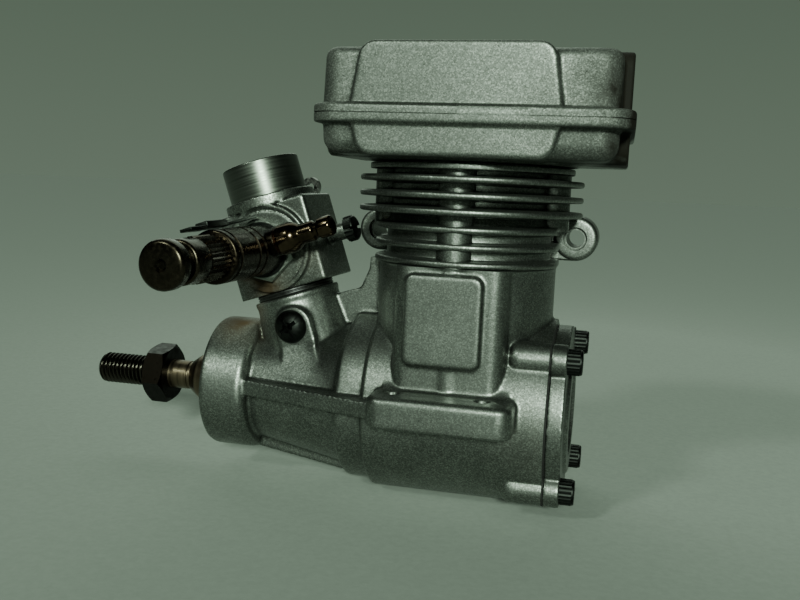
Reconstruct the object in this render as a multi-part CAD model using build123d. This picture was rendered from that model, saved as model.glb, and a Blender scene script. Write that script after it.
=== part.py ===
from build123d import *
import os
from math import cos, pi, radians, sin

# Two-stroke model glow engine of the helicopter type, about 5.2 cubic centimetres, in millimetres.
# The origin is the centre of the four mounting-lug holes, on the lugs' underside, level with the
# crankshaft. +X points to the rear cover, +Y to the exhaust and +Z up the cylinder.

# Working sizes
BORE_R = 9.75
STROKE = 17.5
THROW = STROKE / 2
ROD_LENGTH = 28.75
CYL_X = 1.0                      # cylinder axis
PIN_DROP = 7.7                   # wrist pin below the crown
PIN_Z = THROW + ROD_LENGTH       # wrist pin at the top of its stroke
CROWN_Z = PIN_Z + PIN_DROP
DECK_Z = 45.4                    # top of the casing and of the liner
FIT = 0.02                       # radial room in a tight fit
RUN = 0.05                       # radial room in a running fit

# Crankcase
CHAMBER_R = 15.0
BARREL_R = 17.5
BARREL_X = (-14.4, 18.6)
RING_R = 16.3
RING_X = -20.0
NECK_R = (10.6, 14.2)
NOSE_R = 13.1
NOSE_X = (-48.3, -39.2)
LUG_X = (-11.8, 13.6)
LUG_Y = 24.4
LUG_Z = 5.0
LUG_HOLE = (8.0, 19.5)
LUG_HOLE_R = 1.25
CASING_R = 16.7
BULGE_Y = 17.2
BULGE_X = (-9.3, 11.0)
PAD_X = (-6.9, 6.8)
PAD_Z = (9.8, 26.0)
PAD_Y = 18.2
FIN_T = 1.3
UPPER_FINS = (42.63, 39.8, 37.04)
UPPER_FIN_R = 21.0
LOWER_FINS = (33.95, 30.93, 27.9)
LOWER_FIN_R = 17.8
LOWER_FIN_HALF_W = 16.8          # the lower fins are cut flat at the sides
UPPER_CORE_R = 14.8
LOWER_CORE_R = 15.5
HEAD_SCREW_R = 15.3
HEAD_COLUMN_R = 3.3
FRONT_COLUMN_Y = 14.2            # the columns at the front and back stay behind the lower fins
LINER_R = 11.0
PASSAGE_R = 13.9                 # reach of the transfer passages from the cylinder axis
PASSAGE_TOP = 34.6

# Exhaust flange
EAR_SPACING = 39.1
EAR_Z = 32.45
EAR_R = 4.3
EAR_Y = (7.0, 18.5)
FLANGE_Y = (7.4, 18.5)
EAR_HOLE_R = 1.75
PORT_HALF_W = 8.5
PORT_Z = (28.8, 35.4)

# Rear cover
COVER_R = 16.4
COVER_T = 2.8
GASKET_T = 0.3
COVER_SCREW = 11.75
BOSS_R = 3.0
BOSS_X = 11.0

# Bearings: bore radius, outer radius, width, front face
FRONT_BEARING = {"bore": 4.0, "outer": 9.5, "width": 6.0, "x": -47.6, "ball": 1.7, "balls": 8}
REAR_BEARING = {"bore": 7.0, "outer": 12.7, "width": 6.0, "x": -15.5, "ball": 1.5, "balls": 11}

# Crankshaft
TIP_X = -76.7
THREAD_R = 3.175
SLEEVE_R = 2.95                  # plain part between the thread and the drive cone, and inside the nut
SLEEVE_END_X = -53.2
SHAFT_R = 4.0
JOURNAL_R = 7.0
WEB_R = 13.6
WEB_X = (-9.3, -3.4)
CRANKPIN_R = 2.5
NUT_X = (-64.9, -60.4)
NUT_FLATS = 10.8
NUT_TURN = 11                    # degrees that the nut's corners stand away from level
CONE_X = -55.4

# Carburettor, in its own frame: c runs up the stem, b towards the exhaust side, a to the rear
CARB_TILT = 18.8
CARB_TURN = 3.0
CARB_AT = (-33.44, 0.0, 18.95)
STEM_R = 6.0
ROTOR_C = 9.7
ROTOR_R = 6.0
VENTURI_R = 4.2
INTAKE_R = 7.65
INTAKE_C = (19.8, 26.8)
BODY_A = (-8.7, 10.0)
BODY_B = 7.2
BODY_C = (1.2, 18.0)
DISC_R = 8.5
DISC_B = 8.4
STOP_C = 9.3                     # height of the rotor's stop screw
LINK_R = 0.8
NIPPLE_R = 1.95
NIPPLE_B = -13.8
NIPPLE_C = ROTOR_C + 0.4
SPRING_A = (-1.2, 1.1)
SPRING_B = (10.2, 10.6)          # clamping ring of the ratchet spring, in front of the body

# Heat-sink head
HEAD_X = 2.65
HEAD_HALF = (25.3, 21.6)
HEAD_Z = (46.3, 53.07, 64.3)
RIDGE_Z = (51.45, 54.6)
RIDGE_HALF = (27.2, 23.5)
PANEL_TOP_Z = 65.0
PANEL_LOW_Z = 46.1
PANEL_ROUND = 3.0
HEAD_CORNER = 3.4
SLOT_W = 2.5
SLOT_PITCH = 4.0
SLOT_FLOOR = 50.4
WELL_R = 6.4
PLUG_SEAT_Z = 53.0
PLUG_R = 3.175

LOW = (Align.CENTER, Align.CENTER, Align.MIN)
CORNER = (Align.MIN, Align.MIN, Align.MIN)


def span(p, q):
    """Two limits in rising order."""
    return (min(p, q), max(p, q))


def block(x, y, z):
    """Box between two limits on each axis."""
    size = [high - low for low, high in (x, y, z)]
    return Pos(x[0], y[0], z[0]) * Box(*size, align=CORNER)


def rod_x(radius, x, y=0.0, z=0.0):
    """Cylinder along X between two limits."""
    return Pos(x[0], y, z) * Rot(0, 90, 0) * Cylinder(radius, x[1] - x[0], align=LOW)


def rod_y(radius, y, x=0.0, z=0.0):
    """Cylinder along Y between two limits."""
    return Pos(x, y[0], z) * Rot(-90, 0, 0) * Cylinder(radius, y[1] - y[0], align=LOW)


def rod_z(radius, z, x=0.0, y=0.0):
    """Cylinder along Z between two limits."""
    return Pos(x, y, z[0]) * Cylinder(radius, z[1] - z[0], align=LOW)


def rounded(face, rounds):
    """Face with some of its corners rounded, from (x, z, radius) entries."""
    for x, z, radius in rounds:
        corner = face.vertices().sort_by_distance((x, 0.0, z))[0]
        face = fillet(corner, radius)
    return face


def lathe_x(profile, rounds=()):
    """Solid turned about X from (x, radius) points."""
    outline = Polyline(*[(x, 0.0, r) for x, r in profile], close=True)
    return revolve(rounded(make_face(outline), rounds), Axis.X)


def lathe_z(profile, rounds=(), x=0.0, y=0.0):
    """Solid turned about Z from (radius, z) points."""
    outline = Polyline(*[(r, 0.0, z) for r, z in profile], close=True)
    return Pos(x, y, 0) * revolve(rounded(make_face(outline), rounds), Axis.Z)


def tube_x(outer, inner, x, y=0.0, z=0.0):
    """Ring along X."""
    return rod_x(outer, x, y, z) - rod_x(inner, x, y, z)


def tube_z(outer, inner, z, x=0.0, y=0.0):
    """Ring along Z."""
    return rod_z(outer, z, x, y) - rod_z(inner, z, x, y)


def plan(points, z):
    """Prism with an outline in the XY plane."""
    face = make_face(Polyline(*[(x, y, z[0]) for x, y in points], close=True))
    return extrude(face, z[1] - z[0], dir=(0, 0, 1))


def side(points, y):
    """Prism with an outline in the XZ plane."""
    face = make_face(Polyline(*[(x, y[0], z) for x, z in points], close=True))
    return extrude(face, y[1] - y[0], dir=(0, 1, 0))


def across(points, x):
    """Prism with an outline in the YZ plane."""
    face = make_face(Polyline(*[(x[0], y, z) for y, z in points], close=True))
    return extrude(face, x[1] - x[0], dir=(1, 0, 0))


def ring_places(radius, count, start=0.0):
    """Places evenly spaced on a circle, as pairs."""
    turns = [radians(start) + 2 * pi * i / count for i in range(count)]
    return [(radius * cos(t), radius * sin(t)) for t in turns]


def cover_screw_places():
    """Centres of the rear cover's screws, as (y, z) pairs."""
    return [(y, z) for y in (-COVER_SCREW, COVER_SCREW) for z in (-COVER_SCREW, COVER_SCREW)]


def carb(shape):
    """Carry a shape from the carburettor's frame to the engine's."""
    tilt, turn = radians(CARB_TILT), radians(CARB_TURN)
    a_axis = (cos(turn) * cos(tilt), -sin(turn), cos(turn) * sin(tilt))
    c_axis = (-sin(tilt), 0.0, cos(tilt))
    return Plane(origin=CARB_AT, x_dir=a_axis, z_dir=c_axis).location * shape


def screw_z(shank_r, head_r, z, head_h, socket_r, x=0.0, y=0.0):
    """Socket cap screw that points down: z holds its tip and the underside of its head."""
    screw = rod_z(shank_r, z, x, y) + rod_z(head_r, (z[1], z[1] + head_h), x, y)
    socket = RegularPolygon(socket_r, 6)
    return screw - Pos(x, y, z[1] + head_h * 0.45) * extrude(socket, head_h)


# ---------------------------------------------------------------- crankcase

def housing_body():
    """Turned form of the casting: nose, neck, bearing ring and barrel."""
    front, rear = NOSE_X
    profile = [
        (front, 0), (front, NOSE_R), (rear, NOSE_R), (rear, NECK_R[0]), (RING_X, NECK_R[1]),
        (RING_X, RING_R), (BARREL_X[0], RING_R), (BARREL_X[0], BARREL_R), (BARREL_X[1], BARREL_R),
        (BARREL_X[1], 0),
    ]
    rounds = [
        (front, NOSE_R, 0.6), (rear, NOSE_R, 1.7), (rear, NECK_R[0], 0.4), (RING_X, NECK_R[1], 0.8),
        (RING_X, RING_R, 1.0), (BARREL_X[0], BARREL_R, 0.7), (BARREL_X[0], RING_R, 0.4),
    ]
    return lathe_x(profile, rounds)


def lugs():
    """The two mounting beams, with rounded ends and soft edges."""
    length = LUG_X[1] - LUG_X[0]
    middle = (LUG_X[0] + LUG_X[1]) / 2
    beam = Pos(middle, 0, 0) * extrude(RectangleRounded(length, 2 * LUG_Y, 2.6), LUG_Z)
    beam = fillet(beam.edges().group_by(Axis.Z)[-1], 1.2)
    return fillet(beam.edges().group_by(Axis.Z)[0], 0.4)


def lug_roots():
    """Hollow slopes that carry the barrel's wall down onto the lugs."""
    low, reach = LUG_Z - 0.1, (LUG_X[0] + 1.5, LUG_X[1] - 1.5)
    shapes = []
    for s in (-1, 1):
        outline = [(18.2 * s, low), (17.2 * s, low + 0.4), (16.4 * s, low + 1.3), (15.8 * s, low + 2.7),
                   (14.0 * s, low + 2.7), (14.0 * s, low)]
        shapes.append(across(outline, reach))
    return shapes


def housing_ribs():
    """Side ribs from the nose to the lugs, and the keel under the neck."""
    shapes = []
    for s in (-1, 1):
        outline = [(-40.5, 6 * s), (-40.5, 11.9 * s), (-9.0, 21.3 * s), (-9.0, 12 * s)]
        shapes.append(plan(outline, (-0.1, 2.9)))
    shapes.append(side([(-40.5, -8.0), (-40.5, -12.6), (-18.0, -16.2), (-18.0, -8.0)], (-2.4, 2.4)))
    return shapes


def carb_boss():
    """Socket for the carburettor's stem, with a pad for each retaining screw and a gusset."""
    cone = lathe_z([(0, 0), (8.5, 0), (8.5, -0.8), (8.3, -1.3), (9.5, -16.0), (0, -16.0)], [(8.5, 0, 0.3)])
    pads = []
    for s in (-1, 1):
        slope = [(6.0 * s, -5.9), (9.0 * s, -5.9), (9.0 * s, -9.3), (11.5 * s, -15.4), (11.5 * s, -17.0),
                 (6.0 * s, -17.0)]
        pads += [rod_y(3.75, span(6.0 * s, 9.0 * s), 1.25, -5.9), across(slope, (-2.5, 5.0))]
    for pad in pads:
        cone = cone + pad
    web = [(-14.0, 29.0), (-17.8, 28.7), (-18.2, 24.8), (-19.7, 21.2), (-25.0, 19.4), (-25.0, 8.0),
           (-14.0, 8.0)]
    return [carb(cone), side(web, (-1.3, 1.3))]


def casing():
    """Upright cylinder casing with its transfer bulge, pad, columns and fins."""
    shapes = [
        rod_z(CASING_R, (0, LOWER_FINS[-1]), CYL_X),
        rod_z(LOWER_CORE_R, (20, 36), CYL_X),
        rod_z(UPPER_CORE_R, (30, DECK_Z), CYL_X),
        rod_z(19.2, (DECK_Z - 1.1, DECK_Z), CYL_X),
    ]
    middle = (BULGE_X[0] + BULGE_X[1]) / 2
    bulge = extrude(RectangleRounded(BULGE_X[1] - BULGE_X[0], 2 * BULGE_Y, 2.8), LOWER_FINS[-1] - 1)
    shapes.append(Pos(middle, 0, 1) * bulge)
    pad_w, pad_h = PAD_X[1] - PAD_X[0], PAD_Z[1] - PAD_Z[0]
    pad_face = Plane.XZ * RectangleRounded(pad_w, pad_h, 1.5)
    pad = extrude(pad_face, 3.0)
    pad = fillet(pad.edges().group_by(Axis.Y)[0], 0.35)
    shapes.append(Pos(sum(PAD_X) / 2, -PAD_Y + 3.0, sum(PAD_Z) / 2) * pad)
    for side in (-1, 1):
        shapes.append(rod_z(HEAD_COLUMN_R, (LOWER_FINS[0], DECK_Z), CYL_X + side * HEAD_SCREW_R))
        shapes.append(rod_z(HEAD_COLUMN_R, (2.0, DECK_Z), CYL_X, side * FRONT_COLUMN_Y))
    for z in UPPER_FINS:
        shapes.append(fin(UPPER_FIN_R, z))
    room = block((CYL_X - LOWER_FIN_HALF_W, CYL_X + LOWER_FIN_HALF_W), (-20, 20), (20, DECK_Z))
    for z in LOWER_FINS:
        shapes.append(fin(LOWER_FIN_R, z) & room)
    return shapes


def fin(radius, z):
    """Cooling fin with a rounded tip."""
    half = FIN_T / 2
    profile = [(0, z - half), (radius, z - half), (radius, z + half), (0, z + half)]
    return lathe_z(profile, [(radius, z - half, half * 0.8), (radius, z + half, half * 0.8)], x=CYL_X)


def exhaust_flange():
    """Exhaust duct and a flange plate that ends in a round ear at each side."""
    low, high = PORT_Z[0] - 1.3, PORT_Z[1] + 1.6
    half = EAR_SPACING / 2
    duct = block((CYL_X - 12.5, CYL_X + 12.5), (2, EAR_Y[1]), (low, high))
    plate = block((CYL_X - half, CYL_X + half), FLANGE_Y, (EAR_Z - EAR_R, EAR_Z + EAR_R))
    ears = [rod_y(EAR_R, EAR_Y, CYL_X + s * half, EAR_Z) for s in (-1, 1)]
    return [duct, plate] + ears


def rear_bosses():
    """Long bosses for the rear cover's screws, with rounded fronts."""
    shapes = []
    profile = [(BOSS_X, 0), (BOSS_X, BOSS_R), (BARREL_X[1], BOSS_R), (BARREL_X[1], 0)]
    for y, z in cover_screw_places():
        shapes.append(Pos(0, y, z) * lathe_x(profile, [(BOSS_X, BOSS_R, 2.2)]))
    return shapes


def crankcase_voids():
    """Everything that is bored out of the crankcase casting."""
    front, rear = FRONT_BEARING, REAR_BEARING
    rear_seat = (rear["x"], WEB_X[0] - 0.2)
    cuts = [
        rod_x(CHAMBER_R, (rear_seat[1], BARREL_X[1] + 1)),
        rod_x(rear["outer"], rear_seat),
        rod_x(JOURNAL_R + RUN, (-34.0, rear["x"])),
        rod_x(SHAFT_R + 1.0, (front["x"], -34.0)),
        rod_x(front["outer"], (NOSE_X[0] - 1, front["x"] + front["width"])),
        rod_z(LINER_R + FIT, (5, DECK_Z + 1), CYL_X),
        rod_z(12.6, (DECK_Z - 2.0, DECK_Z + 1), CYL_X),
        block((CYL_X - PORT_HALF_W, CYL_X + PORT_HALF_W), (5, EAR_Y[1] + 1), PORT_Z),
        carb(rod_z(STEM_R + FIT, (-11.6, 1))),
        carb(rod_z(4.6, (-20.0, -11.5))),
    ]
    cuts.append(block((CYL_X - 5, CYL_X + 5), (-PASSAGE_R, 0), (6, PASSAGE_TOP)))
    for s in (-1, 1):
        cuts.append(block(span(CYL_X + 5 * s, CYL_X + PASSAGE_R * s), (-5, 5), (9, PASSAGE_TOP)))
    for x in (-LUG_HOLE[0], LUG_HOLE[0]):
        for y in (-LUG_HOLE[1], LUG_HOLE[1]):
            cuts.append(rod_z(LUG_HOLE_R, (-1, LUG_Z + 1), x, y))
    for y, z in cover_screw_places():
        cuts.append(rod_x(1.3, (BOSS_X + 2.2, BARREL_X[1] + 1), y, z))
    for x, y in ring_places(HEAD_SCREW_R, 4):
        cuts.append(rod_z(1.25, (37.2, DECK_Z + 1), CYL_X + x, y))
    for s in (-1, 1):
        x = CYL_X + s * EAR_SPACING / 2
        cuts.append(rod_y(EAR_HOLE_R, (EAR_Y[0] - 1, EAR_Y[1] + 1), x, EAR_Z))
        cuts.append(rod_y(EAR_HOLE_R + 0.45, (EAR_Y[0] - 1, EAR_Y[0] + 0.8), x, EAR_Z))
        cuts.append(carb(rod_y(1.3, span(5.0 * s, 10.0 * s), 1.0, -5.9)))
    return cuts


def crankcase():
    """The one-piece casting."""
    body = housing_body()
    solids = [lugs()] + lug_roots() + housing_ribs() + carb_boss()
    solids += casing() + exhaust_flange() + rear_bosses()
    body = body.fuse(*solids)
    return body.cut(*crankcase_voids())


# ---------------------------------------------------------------- rear cover

def cover_outline(x):
    """Round plate with an ear for each screw."""
    ears = [rod_x(BOSS_R, x, y, z) for y, z in cover_screw_places()]
    return rod_x(COVER_R, x).fuse(*ears)


def rear_cover():
    """Cover with a spigot in the chamber and a raised disc outside."""
    inner = BARREL_X[1] + GASKET_T
    outer = inner + COVER_T
    plate = cover_outline((inner, outer))
    spigot = tube_x(CHAMBER_R - RUN, 12.0, (inner - 3.4, inner + 0.2))
    disc = lathe_x([(outer - 0.5, 0), (outer - 0.5, 11.5), (outer + 0.7, 11.5), (outer + 0.7, 0)],
                   [(outer + 0.7, 11.5, 0.6)])
    dish = rod_x(8.0, (outer + 0.1, outer + 2))
    plate = plate.fuse(spigot, disc).cut(dish)
    holes = [rod_x(1.4, (inner - 1, outer + 1), y, z) for y, z in cover_screw_places()]
    return plate.cut(*holes)


def rear_cover_gasket():
    """Paper gasket between the crankcase and the rear cover."""
    sheet = cover_outline((BARREL_X[1], BARREL_X[1] + GASKET_T)) - rod_x(CHAMBER_R, (10, 30))
    holes = [rod_x(1.4, (10, 30), y, z) for y, z in cover_screw_places()]
    return sheet.cut(*holes)


def rear_cover_screws():
    """Four socket cap screws."""
    under = BARREL_X[1] + GASKET_T + COVER_T
    shapes = []
    for y, z in cover_screw_places():
        shank = rod_x(1.3 - FIT, (BOSS_X + 3.0, under), y, z)
        cap = lathe_x([(under, 0), (under, 2.35), (under + 2.6, 2.35), (under + 2.6, 0)],
                      [(under + 2.6, 2.35, 0.3)])
        socket = Pos(under + 1.3, 0, 0) * extrude(Plane.YZ * RegularPolygon(1.15, 6), 3)
        shapes.append(shank + Pos(0, y, z) * (cap - socket))
    return shapes


# ---------------------------------------------------------------- cylinder and head

def cylinder_liner():
    """Plated liner with one exhaust port and three transfer ports."""
    liner = tube_z(LINER_R, BORE_R, (15.5, DECK_Z), CYL_X)
    flange = tube_z(12.5, BORE_R + 1.0, (DECK_Z - 2.0, DECK_Z), CYL_X)
    exhaust = block((CYL_X - 6.5, CYL_X + 6.5), (6, 13), (PORT_Z[0] + 0.1, PORT_Z[1] - 0.1))
    front = block((CYL_X - 4.2, CYL_X + 4.2), (-13, -6), (PORT_Z[0], 33.4))
    sides = block((CYL_X - 13, CYL_X + 13), (-4.2, 4.2), (PORT_Z[0], 33.2))
    return (liner + flange).cut(exhaust, front, sides)


def head_gasket():
    """Soft ring between the liner and the head."""
    return tube_z(12.5, BORE_R, (DECK_Z, DECK_Z + GASKET_T), CYL_X)


def tapered_block(half_bottom, half_top, z, radius, x=HEAD_X):
    """Rounded block that is drafted between two rectangles."""
    sections = []
    for (half_x, half_y), height in ((half_bottom, z[0]), (half_top, z[1])):
        sections.append(Pos(x, 0, height) * RectangleRounded(2 * half_x, 2 * half_y, radius))
    return loft(sections)


def head_panel(half, z, across_plane, depth):
    """Raised panel: a tapered outline with round corners that runs right through the head."""
    low, mid, top = z
    wide, narrow_low, narrow_top = half
    outline = [(-narrow_low, low), (narrow_low, low), (wide, mid), (narrow_top, top), (-narrow_top, top),
               (-wide, mid)]
    face = make_face(across_plane * Polyline(*outline, close=True))
    panel = extrude(face, depth / 2, both=True)
    thick = Axis.Y if across_plane == Plane.XZ else Axis.X
    corners = panel.edges().filter_by(thick)
    panel = fillet(corners.group_by(Axis.Z)[-1], PANEL_ROUND)
    panel = fillet(panel.edges().filter_by(thick).group_by(Axis.Z)[0], PANEL_ROUND)
    rims = panel.faces().sort_by(thick)
    return fillet(rims[0].edges() + rims[-1].edges(), 0.5)


def head_body():
    """Outer walls: two drafted halves, a ridge at the parting plane and a raised panel on each side."""
    low, mid, top = HEAD_Z
    half_x, half_y = HEAD_HALF
    drafted = (half_x - 0.2, half_y - 0.6)
    lower = tapered_block(drafted, HEAD_HALF, (low, mid), HEAD_CORNER)
    upper = tapered_block(HEAD_HALF, drafted, (mid, top), HEAD_CORNER)
    upper = fillet(upper.edges().group_by(Axis.Z)[-1], 1.8)
    lower = fillet(lower.edges().group_by(Axis.Z)[0], 2.8)
    ridge = Pos(HEAD_X + 0.45, 0, RIDGE_Z[0]) * extrude(
        RectangleRounded(2 * RIDGE_HALF[0], 2 * RIDGE_HALF[1], 5.0), RIDGE_Z[1] - RIDGE_Z[0])
    ridge = fillet(ridge.edges().group_by(Axis.Z)[-1] + ridge.edges().group_by(Axis.Z)[0], 0.45)
    panel_z = (PANEL_LOW_Z, mid, PANEL_TOP_Z)
    front = head_panel((17.95, 16.2, 16.1), panel_z, Plane.XZ, 2 * half_y + 2.4)
    sides = head_panel((14.5, 13.0, 12.9), panel_z, Plane.YZ, 2 * half_x + 2.6)
    return lower.fuse(upper, ridge, Pos(CYL_X, 0, 0) * front, Pos(HEAD_X + 0.2, 0, 0) * sides)


def cylinder_head():
    """Heat-sink head with upright fins, a plug well and four screw wells."""
    bottom = DECK_Z + GASKET_T
    head = head_body()
    head = head + rod_z(19.9, (bottom, HEAD_Z[0] + 1.5), CYL_X)
    slots = []
    for i in range(-4, 5):
        width = (i * SLOT_PITCH - SLOT_W / 2, i * SLOT_PITCH + SLOT_W / 2)
        slots.append(block((HEAD_X - 20.5, HEAD_X + 20.5), width, (SLOT_FLOOR, 70)))
    head = head.cut(*slots)
    screw_wells = ring_places(HEAD_SCREW_R, 4)
    posts = [rod_z(WELL_R + 2.2, (bottom + 3, 60.5), CYL_X)]
    posts += [rod_z(4.4, (bottom + 3, 58.5), CYL_X + x, y) for x, y in screw_wells]
    head = head.fuse(*posts)
    cuts = [
        rod_z(WELL_R, (PLUG_SEAT_Z, 70), CYL_X),
        rod_z(PLUG_R + FIT, (44, PLUG_SEAT_Z + 1), CYL_X),
        lathe_z([(0, 44), (7.2, 44), (7.2, bottom + 0.4), (5.6, bottom + 2.9), (3.3, bottom + 3.9),
                 (0, bottom + 3.9)], x=CYL_X),
    ]
    for x, y in screw_wells:
        cuts.append(rod_z(3.0, (51.0, 70), CYL_X + x, y))
        cuts.append(rod_z(1.65, (44, 52), CYL_X + x, y))
    return head.cut(*cuts)


def head_screws():
    """Four long cap screws that hold the head and the liner down."""
    places = ring_places(HEAD_SCREW_R, 4)
    return [screw_z(1.25 - FIT, 2.5, (38.2, 51.0), 2.8, 1.4, CYL_X + x, y) for x, y in places]


def glow_plug_body():
    """Threaded steel body with its hexagon."""
    hexagon = Pos(CYL_X, 0, PLUG_SEAT_Z + 0.6) * extrude(RegularPolygon(4.62, 6), 3.6)
    body = hexagon.fuse(
        rod_z(4.4, (PLUG_SEAT_Z + 0.6, PLUG_SEAT_Z + 1.2), CYL_X),
        rod_z(PLUG_R, (49.8, PLUG_SEAT_Z + 0.7), CYL_X),
        rod_z(2.9, (PLUG_SEAT_Z + 4.0, PLUG_SEAT_Z + 6.0), CYL_X),
    )
    return body.cut(rod_z(1.7, (50.2, 70), CYL_X))


def glow_plug_washer():
    """Copper washer under the plug."""
    return tube_z(4.6, PLUG_R, (PLUG_SEAT_Z, PLUG_SEAT_Z + 0.6), CYL_X)


def glow_plug_insulator():
    """Sleeve between the body and the centre pin."""
    return tube_z(1.7, 0.8, (50.9, PLUG_SEAT_Z + 6.4), CYL_X)


def glow_plug_pin():
    """Centre pin that the glow clip grips."""
    pin = rod_z(0.8, (50.5, PLUG_SEAT_Z + 6.5), CYL_X)
    return pin + lathe_z([(0, 59.4), (1.3, 59.4), (1.6, 61.5), (1.2, 62.3), (0, 62.5)], x=CYL_X)


# ---------------------------------------------------------------- bearings

def race_groove(size, x_mid):
    """Ring-shaped groove that the balls run in."""
    pitch = (size["bore"] + size["outer"]) / 2
    circle = Pos(x_mid, 0, pitch) * (Plane.XZ * Circle(size["ball"] + RUN))
    return revolve(circle, Axis.X)


def race(size, inner, outer):
    """One race of a bearing."""
    ends = (size["x"], size["x"] + size["width"])
    return tube_x(outer, inner, ends) - race_groove(size, sum(ends) / 2)


def outer_race(size):
    """Race that sits in the crankcase."""
    pitch = (size["bore"] + size["outer"]) / 2
    return race(size, pitch + size["ball"] * 0.55, size["outer"])


def inner_race(size):
    """Race that sits on the shaft."""
    pitch = (size["bore"] + size["outer"]) / 2
    return race(size, size["bore"], pitch - size["ball"] * 0.55)


def bearing_balls(size):
    """The balls of one bearing."""
    pitch = (size["bore"] + size["outer"]) / 2
    x = size["x"] + size["width"] / 2
    ball = Pos(x, 0, pitch) * Sphere(size["ball"])
    return [Rot(360 * i / size["balls"], 0, 0) * ball for i in range(size["balls"])]


def bearing_cage(size):
    """Ring that keeps the balls apart."""
    pitch = (size["bore"] + size["outer"]) / 2
    x = size["x"] + size["width"] / 2
    half = size["ball"] + 0.5
    ring = tube_x(pitch + 0.55, pitch - 0.55, (x - half, x + half))
    pocket = rod_z(size["ball"] + 0.05, (pitch - 3, pitch + 3), x)
    return ring.cut(*[Rot(360 * i / size["balls"], 0, 0) * pocket for i in range(size["balls"])])


# ---------------------------------------------------------------- crankshaft

def crankshaft():
    """Hollow shaft with its inlet window, web and threaded front end."""
    web_front, web_rear = WEB_X
    profile = [
        (TIP_X, 0), (TIP_X, THREAD_R - 0.6), (TIP_X + 0.6, THREAD_R), (NUT_X[0], THREAD_R),
        (NUT_X[0], SLEEVE_R), (SLEEVE_END_X, SLEEVE_R), (SLEEVE_END_X, SHAFT_R), (-33.6, SHAFT_R),
        (-33.6, JOURNAL_R), (web_front, JOURNAL_R), (web_front, WEB_R), (web_rear, WEB_R), (web_rear, 0),
    ]
    shaft = lathe_x(profile, [(web_front, WEB_R, 0.4), (web_rear, WEB_R, 0.4)])
    cuts = [rod_x(4.5, (-31.5, web_rear + 1)), block((-30.5, -22.5), (-3.6, 3.6), (3, 8))]
    for s in (-1, 1):
        cuts.append(block((web_front + 1.2, web_rear + 1), span(5.4 * s, 15 * s), (2.0, 15)))
    return shaft.cut(*cuts)


def shaft_nut():
    """Hexagon nut with chamfered corners."""
    corner_r = NUT_FLATS / 2 / cos(pi / 6)
    outline = Plane.YZ * RegularPolygon(corner_r, 6)
    hexagon = Pos(NUT_X[0], 0, 0) * extrude(Rot(NUT_TURN, 0, 0) * outline, NUT_X[1] - NUT_X[0])
    lens = lathe_x([(NUT_X[0], 0), (NUT_X[0], 5.3), (NUT_X[0] + 0.6, 6.3), (NUT_X[1] - 0.6, 6.3),
                    (NUT_X[1], 5.3), (NUT_X[1], 0)])
    return (hexagon & lens) - rod_x(SLEEVE_R + FIT, (NUT_X[0] - 1, NUT_X[1] + 1))


def drive_cone():
    """Conical collar that bears on the front bearing."""
    rear = FRONT_BEARING["x"] - 0.1
    cone = lathe_x([(CONE_X, 0), (CONE_X, 3.3), (-53.6, 4.6), (-50.4, 5.5), (rear, 5.7), (rear, 0)])
    return cone.cut(rod_x(SLEEVE_R + FIT, (-60, -40)), rod_x(SHAFT_R + FIT, (SLEEVE_END_X, -40)))


def crankpin():
    """Pin of the crank web, parted from it so that the rod can be hung on the wrist pin."""
    return tube_x(CRANKPIN_R - RUN, 1.2, (WEB_X[1] + 0.3, CYL_X + 3.6), 0, THROW)


# ---------------------------------------------------------------- piston and rod

def piston():
    """Hollow piston with pin bosses and a skirt cut away for the crank web."""
    bottom = 28.0
    top = lathe_z([(0, bottom), (BORE_R - RUN, bottom), (BORE_R - RUN, CROWN_Z), (0, CROWN_Z)],
                  [(BORE_R - RUN, CROWN_Z, 0.3)], x=CYL_X)
    hollow = rod_z(8.1, (bottom - 1, CROWN_Z - 2.4), CYL_X)
    bosses = rod_x(4.2, (CYL_X - 9.2, CYL_X + 9.2), 0, PIN_Z) - rod_x(5, (CYL_X - 3.2, CYL_X + 3.2), 0, PIN_Z)
    body = (top - hollow) + (bosses & rod_z(9.0, (20, 50), CYL_X))
    swing = WEB_R + 0.6
    reliefs = [rod_x(swing, span(CYL_X + s * 4, CYL_X + s * 12), 0, STROKE) for s in (-1, 1)]
    return body.cut(rod_x(2.5, (CYL_X - 12, CYL_X + 12), 0, PIN_Z), *reliefs)


def wrist_pin():
    """Hollow pin between piston and rod."""
    return tube_x(2.5, 1.3, (CYL_X - 7.9, CYL_X + 7.9), 0, PIN_Z)


def wrist_pin_clips():
    """Wire clips that keep the wrist pin in."""
    return [tube_x(2.5, 1.9, (CYL_X + s * 8.2 - 0.25, CYL_X + s * 8.2 + 0.25), 0, PIN_Z) for s in (-1, 1)]


def connecting_rod():
    """Rod with a bushed eye at each end and a waisted shank."""
    half = 3.0
    ends = (CYL_X - half, CYL_X + half)
    small = rod_x(4.0, (CYL_X - 2.9, CYL_X + 2.9), 0, PIN_Z)
    big = rod_x(4.3, ends, 0, THROW)
    outline = [(0, -2.5, PIN_Z), (0, -2.9, THROW), (0, 2.9, THROW), (0, 2.5, PIN_Z)]
    shank = make_face(Polyline(*outline, close=True))
    bar = Pos(CYL_X - 1.8, 0, 0) * extrude(shank, 3.6, dir=(1, 0, 0))
    recess_z = (THROW + 6, PIN_Z - 5.5)
    slots = [block(span(CYL_X + s * 0.8, CYL_X + s * 2.2), (-1.2, 1.2), recess_z) for s in (-1, 1)]
    rod = small.fuse(big, bar)
    return rod.cut(rod_x(3.1, (-9, 9), 0, PIN_Z), rod_x(3.2, (-9, 9), 0, THROW), *slots)


def small_end_bush():
    """Bronze bush on the wrist pin."""
    return tube_x(3.1, 2.5 + RUN, (CYL_X - 2.9, CYL_X + 2.9), 0, PIN_Z)


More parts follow.
